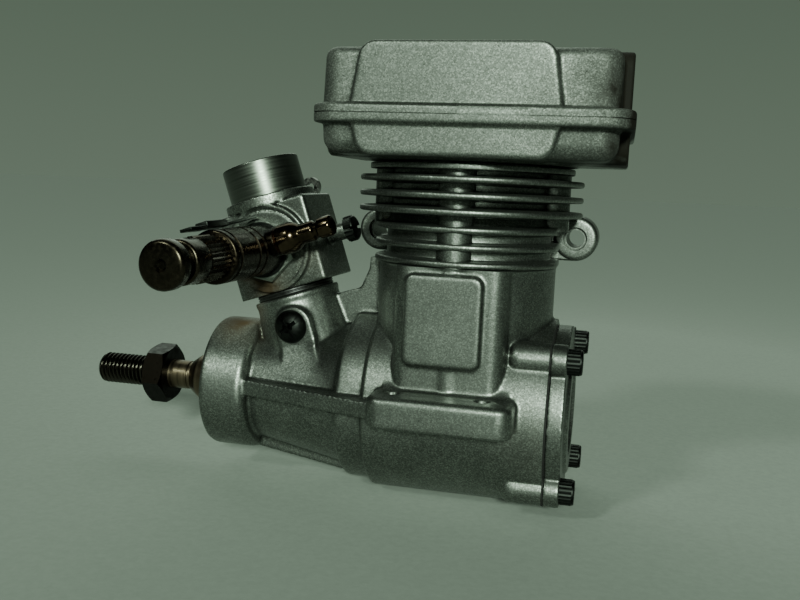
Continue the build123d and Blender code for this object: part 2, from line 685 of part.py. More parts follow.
def big_end_bush():
    """Bronze bush on the crankpin."""
    return tube_x(3.2, CRANKPIN_R, (CYL_X - 3.0, CYL_X + 3.0), 0, THROW)


# ---------------------------------------------------------------- carburettor

def carburettor_body():
    """Die-cast body: stem, square block, round cover and intake tube."""
    middle = ((BODY_A[0] + BODY_A[1]) / 2, 0)
    cube = Pos(*middle, BODY_C[0]) * extrude(
        RectangleRounded(BODY_A[1] - BODY_A[0], 2 * BODY_B, 0.7), BODY_C[1] - BODY_C[0])
    cube = fillet(cube.edges().group_by(Axis.Z)[-1], 0.6)
    intake_low, intake_high = INTAKE_C
    shapes = [
        rod_z(STEM_R, (-11.2, 2.0)),
        rod_z(8.9, (BODY_C[1] - 0.2, intake_low)),
        rod_z(INTAKE_R, (intake_low - 0.2, intake_high)),
        rod_y(DISC_R, (-DISC_B, -BODY_B + 0.2), 0.4, ROTOR_C),
        rod_y(7.4, (BODY_B - 0.2, BODY_B + 1.2), 0, ROTOR_C),
        rod_x(1.75, (8.0, 14.0), 0.5, STOP_C),
    ]
    body = cube.fuse(*shapes)
    groove = rod_y(7.7, (-DISC_B - 1, -DISC_B + 0.35), 0.4, ROTOR_C) - rod_y(7.2, (-20, 0), 0.4, ROTOR_C)
    throat = lathe_z([(0, 27.5), (6.6, 27.5), (6.6, intake_high - 1.5), (VENTURI_R, 16.0), (VENTURI_R, 9.0),
                      (4.6, 2.0), (4.6, -12), (0, -12)])
    cuts = [
        groove,
        throat,
        rod_y(ROTOR_R + RUN, (-5.2, BODY_B + 3), 0, ROTOR_C),
        rod_y(4.4, (-10, -4), 0, ROTOR_C),
        rod_x(1.0, (4, 15), 0.5, STOP_C),
        tube_z(STEM_R + 1, 4.95, (-7.3, -4.5)),
    ]
    return carb(body.cut(*cuts))


def carburettor_seal():
    """Rubber ring between the boss and the carburettor."""
    return carb(tube_z(7.7, STEM_R + FIT, (0.0, BODY_C[0])))


def carb_retaining_screws():
    """Cross-head screws, one from each side, that grip the stem's groove."""
    shapes = []
    for s in (-1, 1):
        profile = [(5.15, 0), (5.15, 1.3 - FIT), (9.0, 1.3 - FIT), (9.0, 3.2), (11.0, 3.2), (11.0, 0)]
        screw = lathe_x(profile, [(11.0, 3.2, 1.6)])
        for wide, high in ((3.6, 0.75), (0.75, 3.6)):
            screw = screw - block((9.9, 12), (-wide / 2, wide / 2), (-high / 2, high / 2))
        shapes.append(carb(Pos(1.0, 0, -5.9) * Rot(0, 0, 90 * s) * screw))
    return shapes


def throttle_rotor():
    """Barrel with its bore in line with the intake when the throttle is open."""
    barrel = rod_y(ROTOR_R, (-5.0, 9.4), 0, ROTOR_C)
    barrel = barrel.fuse(rod_y(4.0, (9.4, 10.2), 0, ROTOR_C), rod_y(2.5, (10.2, 13.4), 0, ROTOR_C))
    slot = rod_y(ROTOR_R + 1, (-0.6, 1.6), 0, ROTOR_C) - rod_y(5.0, (-1, 2), 0, ROTOR_C)
    sector = side([(0, 0), (9.0, 2.4), (9.0, -9.0), (-1.6, -9.0)], (-2, 3))
    cuts = [
        rod_z(VENTURI_R, (0, 20)),
        rod_y(1.35, (-6, 1), 0, ROTOR_C),
        rod_y(1.15, (0, 20), 0, ROTOR_C),
        slot & (Pos(0, 0, ROTOR_C) * sector),
    ]
    return carb(barrel.cut(*cuts))


def throttle_lever():
    """Arm on the rotor's end, with a hole for the throttle link."""
    tip = (5.0, ROTOR_C + 10.9)
    arm_b = (10.25, 11.45)
    arm = side([(-3.6, ROTOR_C), (tip[0] - 1.6, tip[1]), (tip[0] + 1.6, tip[1]), (3.9, ROTOR_C)], arm_b)
    lever = arm.fuse(rod_y(4.2, arm_b, 0, ROTOR_C), rod_y(2.0, arm_b, *tip))
    return carb(lever.cut(rod_y(2.5 + FIT, (9, 12), 0, ROTOR_C), rod_y(LINK_R, (9, 12), *tip)))


def throttle_lever_nut():
    """Nut that holds the lever on the rotor."""
    hexagon = Pos(0, 13.2, ROTOR_C) * extrude(Plane.XZ * RegularPolygon(4.3, 6), 1.7)
    return carb(hexagon - rod_y(2.5 + FIT, (9, 20), 0, ROTOR_C))


def idle_needle():
    """Low-speed needle in the middle of the rotor."""
    needle = rod_y(1.1 - 0.02, (3.0, 13.6), 0, ROTOR_C)
    needle = needle.fuse(rod_y(0.45, (0.4, 3.2), 0, ROTOR_C), rod_y(1.7, (13.6, 14.8), 0, ROTOR_C))
    return carb(needle - block((-2, 2), (14.2, 15), (ROTOR_C - 0.3, ROTOR_C + 0.3)))


def rotor_stop_screw():
    """Screw whose tip runs in the rotor's slot and sets the throttle's travel."""
    screw = rod_x(1.0 - FIT, (5.25, 14.0), 0.5, STOP_C) + rod_x(2.55, (14.0, 16.0), 0.5, STOP_C)
    return carb(screw - block((15.3, 17), (-3, 4), (STOP_C - 0.3, STOP_C + 0.3)))


def needle_holder():
    """Fixed tube that carries the high-speed needle and its jet."""
    holder = rod_y(4.75, (-29.2, -SPRING_B[1]), 0, ROTOR_C)
    holder = holder.fuse(
        rod_y(4.4 - FIT, (-11.0, -6.0), 0, ROTOR_C),
        rod_y(1.25, (-7.0, -1.2), 0, ROTOR_C),
    )
    cuts = [
        rod_y(1.5, (-30, -9.5), 0, ROTOR_C),
        rod_y(0.75, (-10, 0), 0, ROTOR_C),
        rod_x(1.9 + FIT, (2.0, 6), NIPPLE_B, NIPPLE_C),
    ]
    seat = rod_x(2.7, (2.0, 5.7), NIPPLE_B, NIPPLE_C) - rod_y(4.0, (-20, -8), 0, ROTOR_C)
    return carb((holder + seat).cut(*cuts))


def needle_holder_nut():
    """Bright hexagon that locks the needle holder against the body."""
    hexagon = Pos(0, -DISC_B, ROTOR_C) * extrude(Plane.XZ * RegularPolygon(6.4, 6), SPRING_B[0] - DISC_B)
    return carb(hexagon - rod_y(4.4, (-12, -5), 0, ROTOR_C))


def ratchet_spring():
    """Flat spring, clamped by a ring behind the hexagon, that clicks on the needle's knurl."""
    low = ROTOR_C + 5.0
    high = low + 0.5
    clamp, far = SPRING_B
    path = [
        (-clamp, low), (-30.0, low), (-35.2, low - 0.1), (-35.2, high - 0.1), (-30.4, high),
        (-29.6, high + 0.7), (-23.0, high + 0.7), (-22.2, high), (-clamp, high),
    ]
    face = make_face(Polyline(*[(SPRING_A[0], b, c) for b, c in path], close=True))
    strip = extrude(face, SPRING_A[1] - SPRING_A[0], dir=(1, 0, 0))
    ring = rod_y(5.3, (-far, -clamp), 0, ROTOR_C) - rod_y(4.4, (-20, 0), 0, ROTOR_C)
    tab = block(SPRING_A, (-far, -clamp), (ROTOR_C + 4.9, high))
    return carb(strip.fuse(ring, tab))


def needle_valve():
    """High-speed needle with its knurled thimble and finger disc."""
    profile = [
        (-45.7, 0), (-45.7, 4.1), (-43.2, 4.1), (-43.2, 3.0), (-40.6, 3.0), (-40.6, 3.8),
        (-36.2, 3.8), (-36.2, 4.0), (-29.5, 4.0), (-29.5, 1.4), (-11.5, 1.4), (-10.4, 0.6), (-5.0, 0.5),
        (-5.0, 0),
    ]
    rounds = [(-45.7, 4.1, 0.8), (-43.2, 4.1, 0.3), (-40.6, 3.8, 0.5)]
    needle = lathe_x(profile, rounds)
    dimple = lathe_x([(-46, 0), (-46, 1.1), (-45.2, 0.9), (-45.2, 0)])
    return carb(Pos(0, 0, ROTOR_C) * Rot(0, 0, 90) * (needle - dimple))


def fuel_nipple():
    """Barbed nipple that the fuel tube is pushed on."""
    profile = [
        (3.0, 0), (3.0, 1.9), (6.2, 1.9), (6.2, 2.9), (9.0, 2.9), (10.4, 1.9), (13.0, 1.9),
        (13.4, 1.55), (13.9, 1.55), (14.3, NIPPLE_R), (16.8, NIPPLE_R), (16.8, 0),
    ]
    nipple = lathe_x(profile, [(9.0, 2.9, 0.8), (6.2, 2.9, 0.3), (16.8, NIPPLE_R, 0.5)])
    return carb(Pos(0, NIPPLE_B, NIPPLE_C) * (nipple - rod_x(0.9, (2, 18))))


def fuel_nipple_washer():
    """Thin sealing washer under the nipple."""
    return carb(tube_x(2.7, 1.9 + FIT, (5.7, 6.2), NIPPLE_B, NIPPLE_C))


def build():
    """Every node of the engine by name."""
    return {
        "crankcase": crankcase(),
        "rear_cover": rear_cover(),
        "rear_cover_gasket": rear_cover_gasket(),
        "rear_cover_screws": rear_cover_screws(),
        "cylinder_liner": cylinder_liner(),
        "cylinder_head": cylinder_head(),
        "head_gasket": head_gasket(),
        "head_screws": head_screws(),
        "glow_plug_body": glow_plug_body(),
        "glow_plug_washer": glow_plug_washer(),
        "glow_plug_insulator": glow_plug_insulator(),
        "glow_plug_pin": glow_plug_pin(),
        "front_bearing_outer_race": outer_race(FRONT_BEARING),
        "front_bearing_inner_race": inner_race(FRONT_BEARING),
        "front_bearing_balls": bearing_balls(FRONT_BEARING),
        "front_bearing_cage": bearing_cage(FRONT_BEARING),
        "rear_bearing_outer_race": outer_race(REAR_BEARING),
        "rear_bearing_inner_race": inner_race(REAR_BEARING),
        "rear_bearing_balls": bearing_balls(REAR_BEARING),
        "rear_bearing_cage": bearing_cage(REAR_BEARING),
        "crankshaft": crankshaft(),
        "shaft_nut": shaft_nut(),
        "drive_cone": drive_cone(),
        "crankpin": crankpin(),
        "piston": piston(),
        "wrist_pin": wrist_pin(),
        "wrist_pin_clips": wrist_pin_clips(),
        "connecting_rod": connecting_rod(),
        "small_end_bush": small_end_bush(),
        "big_end_bush": big_end_bush(),
        "carburettor_body": carburettor_body(),
        "carburettor_seal": carburettor_seal(),
        "carb_retaining_screws": carb_retaining_screws(),
        "throttle_rotor": throttle_rotor(),
        "throttle_lever": throttle_lever(),
        "throttle_lever_nut": throttle_lever_nut(),
        "idle_needle": idle_needle(),
        "rotor_stop_screw": rotor_stop_screw(),
        "needle_holder": needle_holder(),
        "needle_holder_nut": needle_holder_nut(),
        "ratchet_spring": ratchet_spring(),
        "needle_valve": needle_valve(),
        "fuel_nipple": fuel_nipple(),
        "fuel_nipple_washer": fuel_nipple_washer(),
    }


os.makedirs("parts", exist_ok=True)
for name, shape in build().items():
    solid = Compound(shape) if isinstance(shape, list) else shape
    export_step(solid, f"parts/{name}.step")
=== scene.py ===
"""Model glow engine: every visible surface, built around the engine's packed construction.

Sizes are millimetres in the engine's own frame: +X runs to the rear cover, +Y to the exhaust and +Z up
the cylinder. A piece is worked in millimetres on the bench and turned into metres when it is released.
"""

from __future__ import annotations

import logging
import math
from collections.abc import Iterable, Sequence
from dataclasses import dataclass, replace
from enum import Enum
from typing import NamedTuple

import bmesh
import bpy
from bmesh.types import BMEdge, BMesh, BMVert
from bpy.types import Material, Node, NodeSocket, NodeTree, Object
from mathutils import Matrix, Vector


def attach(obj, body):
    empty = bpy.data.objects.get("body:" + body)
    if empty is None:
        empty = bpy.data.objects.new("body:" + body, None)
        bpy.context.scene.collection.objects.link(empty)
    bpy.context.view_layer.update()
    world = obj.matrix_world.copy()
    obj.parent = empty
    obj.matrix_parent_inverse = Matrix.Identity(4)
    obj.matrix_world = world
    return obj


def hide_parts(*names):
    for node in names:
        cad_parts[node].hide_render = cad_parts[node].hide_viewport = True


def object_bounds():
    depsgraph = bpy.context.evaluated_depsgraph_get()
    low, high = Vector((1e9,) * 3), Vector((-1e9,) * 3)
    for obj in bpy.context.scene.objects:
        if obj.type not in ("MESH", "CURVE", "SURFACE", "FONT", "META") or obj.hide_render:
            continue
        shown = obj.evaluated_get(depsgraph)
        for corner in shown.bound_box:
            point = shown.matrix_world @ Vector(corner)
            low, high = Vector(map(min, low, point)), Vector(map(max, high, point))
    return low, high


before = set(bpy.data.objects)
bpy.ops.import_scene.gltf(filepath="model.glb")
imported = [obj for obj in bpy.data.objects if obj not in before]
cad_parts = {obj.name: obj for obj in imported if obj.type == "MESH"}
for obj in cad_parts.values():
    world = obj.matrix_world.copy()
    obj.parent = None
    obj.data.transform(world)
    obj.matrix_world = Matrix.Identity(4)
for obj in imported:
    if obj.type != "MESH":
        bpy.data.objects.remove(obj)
cad_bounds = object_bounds()

logger = logging.getLogger("engine")

MM = 0.001
WELD = 0.002

# How far a cutter runs past the face that it opens, and how far a joined face is held off another's plane
OVER = 1.0
NUDGE = 0.01

# Angle in degrees past which an edge of a softened casting is shaded sharp
CAST_SHARP = 50.0

# Share of the way that one round of smoothing moves a corner of a skin
SMOOTHING = 0.5

# Facets in a round: on a turned edge, a straight edge, a lug's edge and a plate's corner
TURNED_FACETS, EDGE_FACETS, LUG_FACETS, CORNER_FACETS = 4, 3, 5, 10

# The glossiest that the grain makes a finish
LEAST_ROUGH = 0.03

Point = tuple[float, float, float]
Span = tuple[float, float]
Colour = tuple[float, float, float, float]

# Points of a turned outline, as (height, radius) or (height, radius, round-over), from axis to axis
Profile = Sequence[tuple[float, ...]]


class Axis(Enum):
    """Direction that a turned piece lies along."""

    X = "X"
    Y = "Y"
    Z = "Z"

    def turn(self) -> Matrix:
        """Rotation that carries +Z onto this axis.

        Returns:
            The rotation.
        """
        if self is Axis.X:
            return Matrix.Rotation(math.pi / 2, 4, "Y")
        if self is Axis.Y:
            return Matrix.Rotation(-math.pi / 2, 4, "X")
        return Matrix.Identity(4)


class Combine(Enum):
    """How one solid acts on another."""

    CUT = "DIFFERENCE"
    JOIN = "UNION"
    KEEP = "INTERSECT"


class Part(NamedTuple):
    """What a piece stands for: its body, its material slot and the construction nodes that it hides."""

    body: str
    slot: str
    nodes: tuple[str, ...]


class Skin(NamedTuple):
    """How a casting's skin is drawn: cell size, rounds of smoothing and share of the faces that is kept."""

    cell: float
    passes: int
    share: float = 1.0


class Bore(NamedTuple):
    """A straight round hole, or the plug that closes it: radius, both ends and sides around."""

    radius: float
    low: float
    high: float
    sides: int = 64

    def mirrored(self) -> Bore:
        """The same bore on the other side of its frame."""
        return self._replace(low=-self.high, high=-self.low)

    def solid(self, at: Matrix) -> Workpiece:
        """The bore's inside, along the local Z of a frame."""
        return rod(self.radius, (self.low, self.high), at, self.sides)


# ------------------------------------------------------------------ bench tools


def place(point: Sequence[float], axis: Axis = Axis.Z) -> Matrix:
    """Matrix that stands a piece on a point, along an axis.

    Args:
        point: Where the piece's own origin goes.
        axis: Where the piece's own +Z goes.

    Returns:
        The placing matrix.
    """
    return Matrix.Translation(Vector(point)) @ axis.turn()


class Workpiece:
    """A mesh on the bench, in millimetres, shaped by bmesh operators."""

    def __init__(self) -> None:
        """Start with an empty mesh."""
        self.mesh = bmesh.new()

    @classmethod
    def from_node(cls, node: str) -> Workpiece:
        """Copy a construction node and weld its loose triangles.

        Args:
            node: Name of the node.

        Returns:
            The welded copy.
        """
        piece = cls()
        piece.mesh.from_mesh(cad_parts[node].data)
        bmesh.ops.scale(piece.mesh, vec=Vector((1, 1, 1)) / MM, verts=piece.mesh.verts)
        bmesh.ops.remove_doubles(piece.mesh, verts=piece.mesh.verts, dist=WELD)
        return piece

    def rod(self, radius: float, span: Span, at: Matrix, sides: int = 64, tip: float | None = None) -> None:
        """Add a cylinder or a cone along the local Z of a frame.

        Args:
            radius: Radius at the low end.
            span: Low and high end along local Z.
            at: Frame of the cylinder.
            sides: Sides around.
            tip: Radius at the high end, when it differs.
        """
        low, high = span
        bmesh.ops.create_cone(
            self.mesh, cap_ends=True, segments=sides, radius1=radius,
            radius2=radius if tip is None else tip, depth=high - low,
            matrix=at @ Matrix.Translation((0, 0, (low + high) / 2)))

    def plug(self, bores: Iterable[Bore], at: Matrix) -> None:
        """Close some bores of a frame, so that only the outside is softened.

        Args:
            bores: The bores' plugs.
            at: Frame of the bores.
        """
        for bore in bores:
            self.rod(bore.radius, (bore.low, bore.high), at, bore.sides)

    def block(self, x: Span, y: Span, z: Span, at: Matrix | None = None) -> None:
        """Add a box between two limits on each axis.

        Args:
            x: Limits along X.
            y: Limits along Y.
            z: Limits along Z.
            at: Frame of the box.
        """
        middle = Vector((sum(x) / 2, sum(y) / 2, sum(z) / 2))
        size = Matrix.Diagonal((x[1] - x[0], y[1] - y[0], z[1] - z[0], 1))
        frame_of_box = (at or Matrix.Identity(4)) @ Matrix.Translation(middle) @ size
        bmesh.ops.create_cube(self.mesh, size=1.0, matrix=frame_of_box)

    def lathe(self, profile: Profile, at: Matrix, steps: int = 72) -> None:
        """Turn a closed solid about the local Z of a frame.

        Args:
            profile: The turned outline.
            at: Frame of the turned piece.
            steps: Steps around.
        """
        work = bmesh.new()
        verts = [work.verts.new((point[1], 0, point[0])) for point in profile]
        edges = [work.edges.new(pair) for pair in zip(verts, verts[1:])]
        bmesh.ops.spin(work, geom=verts + edges, cent=(0, 0, 0), axis=(0, 0, 1), angle=2 * math.pi,
                       steps=steps, use_merge=True)
        bmesh.ops.remove_doubles(work, verts=work.verts, dist=WELD)
        for point in profile:
            if len(point) > 2:
                round_edges(work, ring_edges(work, point[0], point[1]), point[2], TURNED_FACETS)
        bmesh.ops.recalc_face_normals(work, faces=work.faces)
        bmesh.ops.transform(work, matrix=at, verts=work.verts)
        self.absorb(work)

    def absorb(self, other: BMesh) -> None:
        """Add another bmesh's shells to this piece and free it.

        Args:
            other: The bmesh, which is used up.
        """
        shell = bpy.data.meshes.new("shell")
        other.to_mesh(shell)
        other.free()
        self.mesh.from_mesh(shell)
        bpy.data.meshes.remove(shell)

    def soften(self, skin: Skin) -> None:
        """Fuse the piece's overlapping shells into one skin with cast fillets in its corners.

        Args:
            skin: How the skin is drawn.
        """
        body = self.bench_object("soft")
        remesh = body.modifiers.new("skin", "REMESH")
        remesh.mode = "VOXEL"
        remesh.voxel_size = skin.cell
        smooth = body.modifiers.new("smooth", "SMOOTH")
        smooth.factor = SMOOTHING
        smooth.iterations = skin.passes
        if skin.share < 1.0:
            thin = body.modifiers.new("thin", "DECIMATE")
            thin.ratio = skin.share
        self.take_result(body)

    def combine(self, other: Workpiece, how: Combine = Combine.CUT) -> None:
        """Cut, join or intersect with another piece, which is used up.

        Args:
            other: The other solid.
            how: The way that they are combined.
        """
        body, tool = self.bench_object("body"), other.bench_object("tool")
        boolean = body.modifiers.new("combine", "BOOLEAN")
        boolean.operation = how.value
        boolean.solver = "MANIFOLD"
        boolean.object = tool
        self.take_result(body)
        discard(tool)
        if not self.mesh.verts:
            raise ValueError("a combined piece came out empty")

    def combine_all(self, others: Iterable[Workpiece], how: Combine = Combine.CUT) -> None:
        """Combine with several pieces, one after another.

        Args:
            others: The other solids.
            how: The way that they are combined.
        """
        for other in others:
            self.combine(other, how)

    def keep_side(self, point: Sequence[float], normal: Sequence[float]) -> None:
        """Cut the piece with a plane, keep what lies behind the plane and close the cut.

        Args:
            point: A point on the plane.
            normal: The side that is thrown away.
        """
        geometry = list(self.mesh.verts) + list(self.mesh.edges) + list(self.mesh.faces)
        cut = bmesh.ops.bisect_plane(self.mesh, geom=geometry, dist=WELD / 4, plane_co=Vector(point),
                                     plane_no=Vector(normal), clear_outer=True)
        rim = [item for item in cut["geom_cut"] if isinstance(item, BMEdge)]
        bmesh.ops.edgeloop_fill(self.mesh, edges=rim)

    def stretch(self, plane: float, by: float) -> None:
        """Move every corner that lies on a plane across X, so that its edge can be cut crisp later.

        Args:
            plane: The plane's place along X.
            by: How far the corners go.
        """
        near = [vert for vert in self.mesh.verts if abs(vert.co.x - plane) < WELD]
        bmesh.ops.translate(self.mesh, vec=Vector((by, 0, 0)), verts=near)

    def bench_object(self, name: str) -> Object:
        """Put the piece on the bench as an object and free its bmesh.

        Args:
            name: Name of the object.

        Returns:
            The object.
        """
        data = bpy.data.meshes.new(name)
        self.mesh.to_mesh(data)
        self.mesh.free()
        body = bpy.data.objects.new(name, data)
        bpy.context.scene.collection.objects.link(body)
        return body

    def take_result(self, body: Object) -> None:
        """Take the mesh that an object's modifiers give, and discard the object.

        Args:
            body: The object, which is used up.
        """
        depsgraph = bpy.context.evaluated_depsgraph_get()
        result = bpy.data.meshes.new_from_object(body.evaluated_get(depsgraph))
        self.mesh = bmesh.new()
        self.mesh.from_mesh(result)
        bpy.data.meshes.remove(result)
        discard(body)

    def release(self, name: str, part: Part, finish: Finish, sharp: float = 32.0) -> None:
        """Turn the piece into a finished object of the engine.

        Args:
            name: Name of the piece.
            part: What it stands for and moves with.
            finish: Its finish.
            sharp: Angle in degrees past which an edge is shaded sharp.
        """
        bmesh.ops.scale(self.mesh, vec=Vector((MM, MM, MM)), verts=self.mesh.verts)
        piece = self.bench_object(name)
        piece.data.shade_smooth()
        piece.data.set_sharp_from_angle(angle=math.radians(sharp))
        piece.data.materials.append(finish.material())
        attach(piece, part.body)
        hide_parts(*part.nodes)
        logger.info("%s: %d faces, moves with %s", name, len(piece.data.polygons), part.body)


def discard(body: Object) -> None:
    """Remove an object and its mesh.

    Args:
        body: The object.
    """
    data = body.data
    bpy.data.objects.remove(body)
    bpy.data.meshes.remove(data)


def round_edges(mesh: BMesh, edges: Iterable[BMEdge], radius: float, segments: int) -> None:
    """Round some edges of a mesh.

    Args:
        mesh: The mesh.
        edges: The edges.
        radius: Radius of the round.
        segments: Facets in the round.
    """
    bmesh.ops.bevel(mesh, geom=list(edges), offset=radius, segments=segments, affect="EDGES", profile=0.5,
                    material=-1, offset_type="OFFSET", clamp_overlap=True)


def ring_edges(mesh: BMesh, height: float, radius: float) -> list[BMEdge]:
    """Edges of a turned mesh that lie on one ring.

    Args:
        mesh: The turned mesh, about Z.
        height: The ring's place along Z.
        radius: The ring's radius.

    Returns:
        The ring's edges.
    """
    def on_ring(vert: BMVert) -> bool:
        """Whether a vertex lies on the ring."""
        return abs(vert.co.z - height) < WELD and abs(vert.co.xy.length - radius) < WELD

    return [edge for edge in mesh.edges if all(on_ring(vert) for vert in edge.verts)]


def rod(radius: float, span: Span, at: Matrix, sides: int = 64, tip: float | None = None) -> Workpiece:
    """A cylinder or a cone as a piece of its own.

    Args:
        radius: Radius at the low end.
        span: Low and high end along local Z.
        at: Frame of the cylinder.
        sides: Sides around.
        tip: Radius at the high end, when it differs.

    Returns:
        The piece.
    """
    piece = Workpiece()
    piece.rod(radius, span, at, sides, tip)
    return piece


def block(x: Span, y: Span, z: Span, at: Matrix | None = None) -> Workpiece:
    """A box as a piece of its own.

    Args:
        x: Limits along X.
        y: Limits along Y.
        z: Limits along Z.
        at: Frame of the box.

    Returns:
        The piece.
    """
    piece = Workpiece()
    piece.block(x, y, z, at)
    return piece


def turned(profile: Profile, at: Matrix, steps: int = 72) -> Workpiece:
    """A turned solid as a piece of its own.

    Args:
        profile: The turned outline.
        at: Frame of the turned piece.
        steps: Steps around.

    Returns:
        The piece.
    """
    piece = Workpiece()
    piece.lathe(profile, at, steps)
    return piece


def rounded_plate(half: Span, z: Span, radius: float, centre: Span) -> Workpiece:
    """A flat plate with round corners.

    Args:
        half: Half its size along X and along Y.
        z: Low and high face.
        radius: Radius of its upright edges.
        centre: Its middle, as (x, y).

    Returns:
        The plate.
    """
    piece = block(about(centre[0], half[0]), about(centre[1], half[1]), z)
    upright = [edge for edge in piece.mesh.edges if abs(edge.verts[0].co.z - edge.verts[1].co.z) > WELD]
    round_edges(piece.mesh, upright, radius, CORNER_FACETS)
    return piece


def eased(piece: Workpiece, radius: float) -> Workpiece:
    """Round every edge of a plain piece.

    Args:
        piece: The piece, which is changed.
        radius: Radius of the rounded edges.

    Returns:
        The same piece.
    """
    round_edges(piece.mesh, piece.mesh.edges, radius, EDGE_FACETS)
    return piece


def about(middle: float, half: float) -> Span:
    """Two limits at equal distances from a middle."""
    return (middle - half, middle + half)


def ring_places(radius: float, count: int) -> list[Span]:
    """Places evenly spaced on a circle.

    Args:
        radius: The circle's radius.
        count: How many places.

    Returns:
        The places, as pairs.
    """
    turns = [2 * math.pi * i / count for i in range(count)]
    return [(radius * math.cos(t), radius * math.sin(t)) for t in turns]


# ------------------------------------------------------------------ finishes


def linear(colour: str) -> Colour:
    """Turn an sRGB hex colour into linear values.

    Args:
        colour: Six hex digits.

    Returns:
        Red, green, blue and alpha.
    """
    channels = [int(colour[i:i + 2], 16) / 255 for i in (0, 2, 4)]
    red, green, blue = (c / 12.92 if c <= 0.04045 else ((c + 0.055) / 1.055) ** 2.4 for c in channels)
    return (red, green, blue, 1.0)


def grey(level: float) -> Colour:
    """A linear grey."""
    return (level, level, level, 1.0)


def per_metre(size_mm: float) -> float:
    """Texture scale that gives features of a size in millimetres."""
    return 1.0 / (size_mm * MM)


def add_node(tree: NodeTree, kind: str, inputs: dict[str | int, object] | None = None,
             stops: Sequence[tuple[float, Colour]] = (), **settings: object) -> Node:
    """Add a node with its settings and links.

    Args:
        tree: The tree that gets the node.
        kind: The node's type, without its ShaderNode prefix.
        inputs: A value, or a socket to link, for each input.
        stops: Positions and linear colours, where the node has a colour ramp.
        **settings: Properties of the node itself.

    Returns:
        The new node.
    """
    node = tree.nodes.new("ShaderNode" + kind)
    for name, value in settings.items():
        setattr(node, name, value)
    for name, value in (inputs or {}).items():
        if isinstance(value, NodeSocket):
            tree.links.new(value, node.inputs[name])
        else:
            node.inputs[name].default_value = value
    if stops:
        elements = node.color_ramp.elements
        while len(elements) < len(stops):
            elements.new(0.5)
        for element, (position, colour) in zip(elements, stops):
            element.position = position
            element.color = colour
    return node


@dataclass(frozen=True)
class Finish:
    """A surface finish, with its colour, its gloss and the grain of its making."""

    name: str
    colour: str
    metallic: float = 1.0
    roughness: float = 0.4
    grain_mm: float = 0.6
    colour_swing: float = 0.25
    gloss_swing: float = 0.15
    relief_mm: float = 0.01
    worn_and_highlit: str | None = None
    specular: float = 0.5

    # Noise values between which the grain goes from one end to the other, and how sharp a lighter edge is
    grain_range: Span = (0.3, 0.7)
    lighter_edge: Span = (0.51, 0.56)

    def material(self) -> Material:
        """The finish as a material, made once.

        Returns:
            The material.
        """
        found = bpy.data.materials.get(self.name)
        if found:
            return found
        made = bpy.data.materials.new(self.name)
        made.use_nodes = True
        tree = made.node_tree
        tree.nodes.clear()
        coords = add_node(tree, "TexCoord").outputs["Object"]
        shader = add_node(tree, "BsdfPrincipled", {"Metallic": self.metallic,
                                                   "Specular IOR Level": self.specular})
        looks = self.surface(tree, coords)
        bump = add_node(tree, "Bump", {"Height": looks.pop("Height"), "Strength": 1.0,
                                       "Distance": self.relief_mm * MM})
        for name, socket in looks.items():
            tree.links.new(socket, shader.inputs[name])
        tree.links.new(bump.outputs["Normal"], shader.inputs["Normal"])
        add_node(tree, "OutputMaterial", {"Surface": shader.outputs["BSDF"]})
        return made

    def grain(self, tree: NodeTree, coords: NodeSocket) -> NodeSocket:
        """Make the value from 0 to 1 that carries the finish's grain.

        Args:
            tree: The material's tree.
            coords: Object coordinates.

        Returns:
            The value's socket.
        """
        noise = add_node(tree, "TexNoise", {"Vector": coords, "Scale": per_metre(self.grain_mm),
                                            "Detail": 3.0, "Roughness": 0.6})
        return noise.outputs["Fac"]

    def surface(self, tree: NodeTree, coords: NodeSocket) -> dict[str, NodeSocket]:
        """Build what varies over the surface.

        Args:
            tree: The material's tree.
            coords: Object coordinates.

        Returns:
            Sockets for the shader's inputs, and the relief's under Height.
        """
        grain = self.grain(tree, coords)
        low, high = self.grain_range
        base = linear(self.colour)
        dark = tuple(c * (1 - self.colour_swing) for c in base[:3]) + (1.0,)
        light = tuple(min(1.0, c * (1 + self.colour_swing)) for c in base[:3]) + (1.0,)
        colour = add_node(tree, "ValToRGB", {"Fac": grain}, [(low, dark), (high, light)]).outputs["Color"]
        # Lighter convex edges: wear, and on the blackened brass also a painted highlight on the holder's rim
        if self.worn_and_highlit:
            point = add_node(tree, "NewGeometry").outputs["Pointiness"]
            edge = add_node(tree, "MapRange", {"Value": point, "From Min": self.lighter_edge[0],
                                               "From Max": self.lighter_edge[1]}).outputs["Result"]
            colour = add_node(tree, "Mix", {0: edge, 6: colour, 7: linear(self.worn_and_highlit)},
                              data_type="RGBA").outputs[2]
        glossy, dull = self.roughness - self.gloss_swing, self.roughness + self.gloss_swing
        gloss = add_node(tree, "ValToRGB", {"Fac": grain},
                         [(low, grey(max(LEAST_ROUGH, glossy))),
                          (high, grey(min(1.0, dull)))]).outputs["Color"]
        return {"Base Color": colour, "Roughness": gloss, "Height": grain}


@dataclass(frozen=True)
class StainAndShade:
    """A ragged dark patch, used both for burnt oil and for painted shade: its centre, its reach in
    millimetres and its strength.
    """

    centre: Point
    reach: float
    strength: float
    ragged: Span = (0.35, 0.6)
    thinnest: float = 0.35

    def mask(self, tree: NodeTree, coords: NodeSocket, clouds: NodeSocket) -> NodeSocket:
        """Make the patch's mask.

        Args:
            tree: The material's tree.
            coords: Object coordinates.
            clouds: Cloudy value that frays the patch.

        Returns:
            The mask's socket.
        """
        away = add_node(tree, "VectorMath", {0: coords, 1: Vector(self.centre) * MM}, operation="DISTANCE")
        fade = add_node(tree, "MapRange", {"Value": away.outputs["Value"], "From Min": self.reach * MM,
                                           "From Max": 0.0, "To Max": self.strength})
        frayed = add_node(tree, "MapRange", {"Value": clouds, "From Min": self.ragged[0],
                                             "From Max": self.ragged[1], "To Min": self.thinnest})
        return add_node(tree, "Math", {0: fade.outputs["Result"], 1: frayed.outputs["Result"]},
                        operation="MULTIPLY").outputs["Value"]


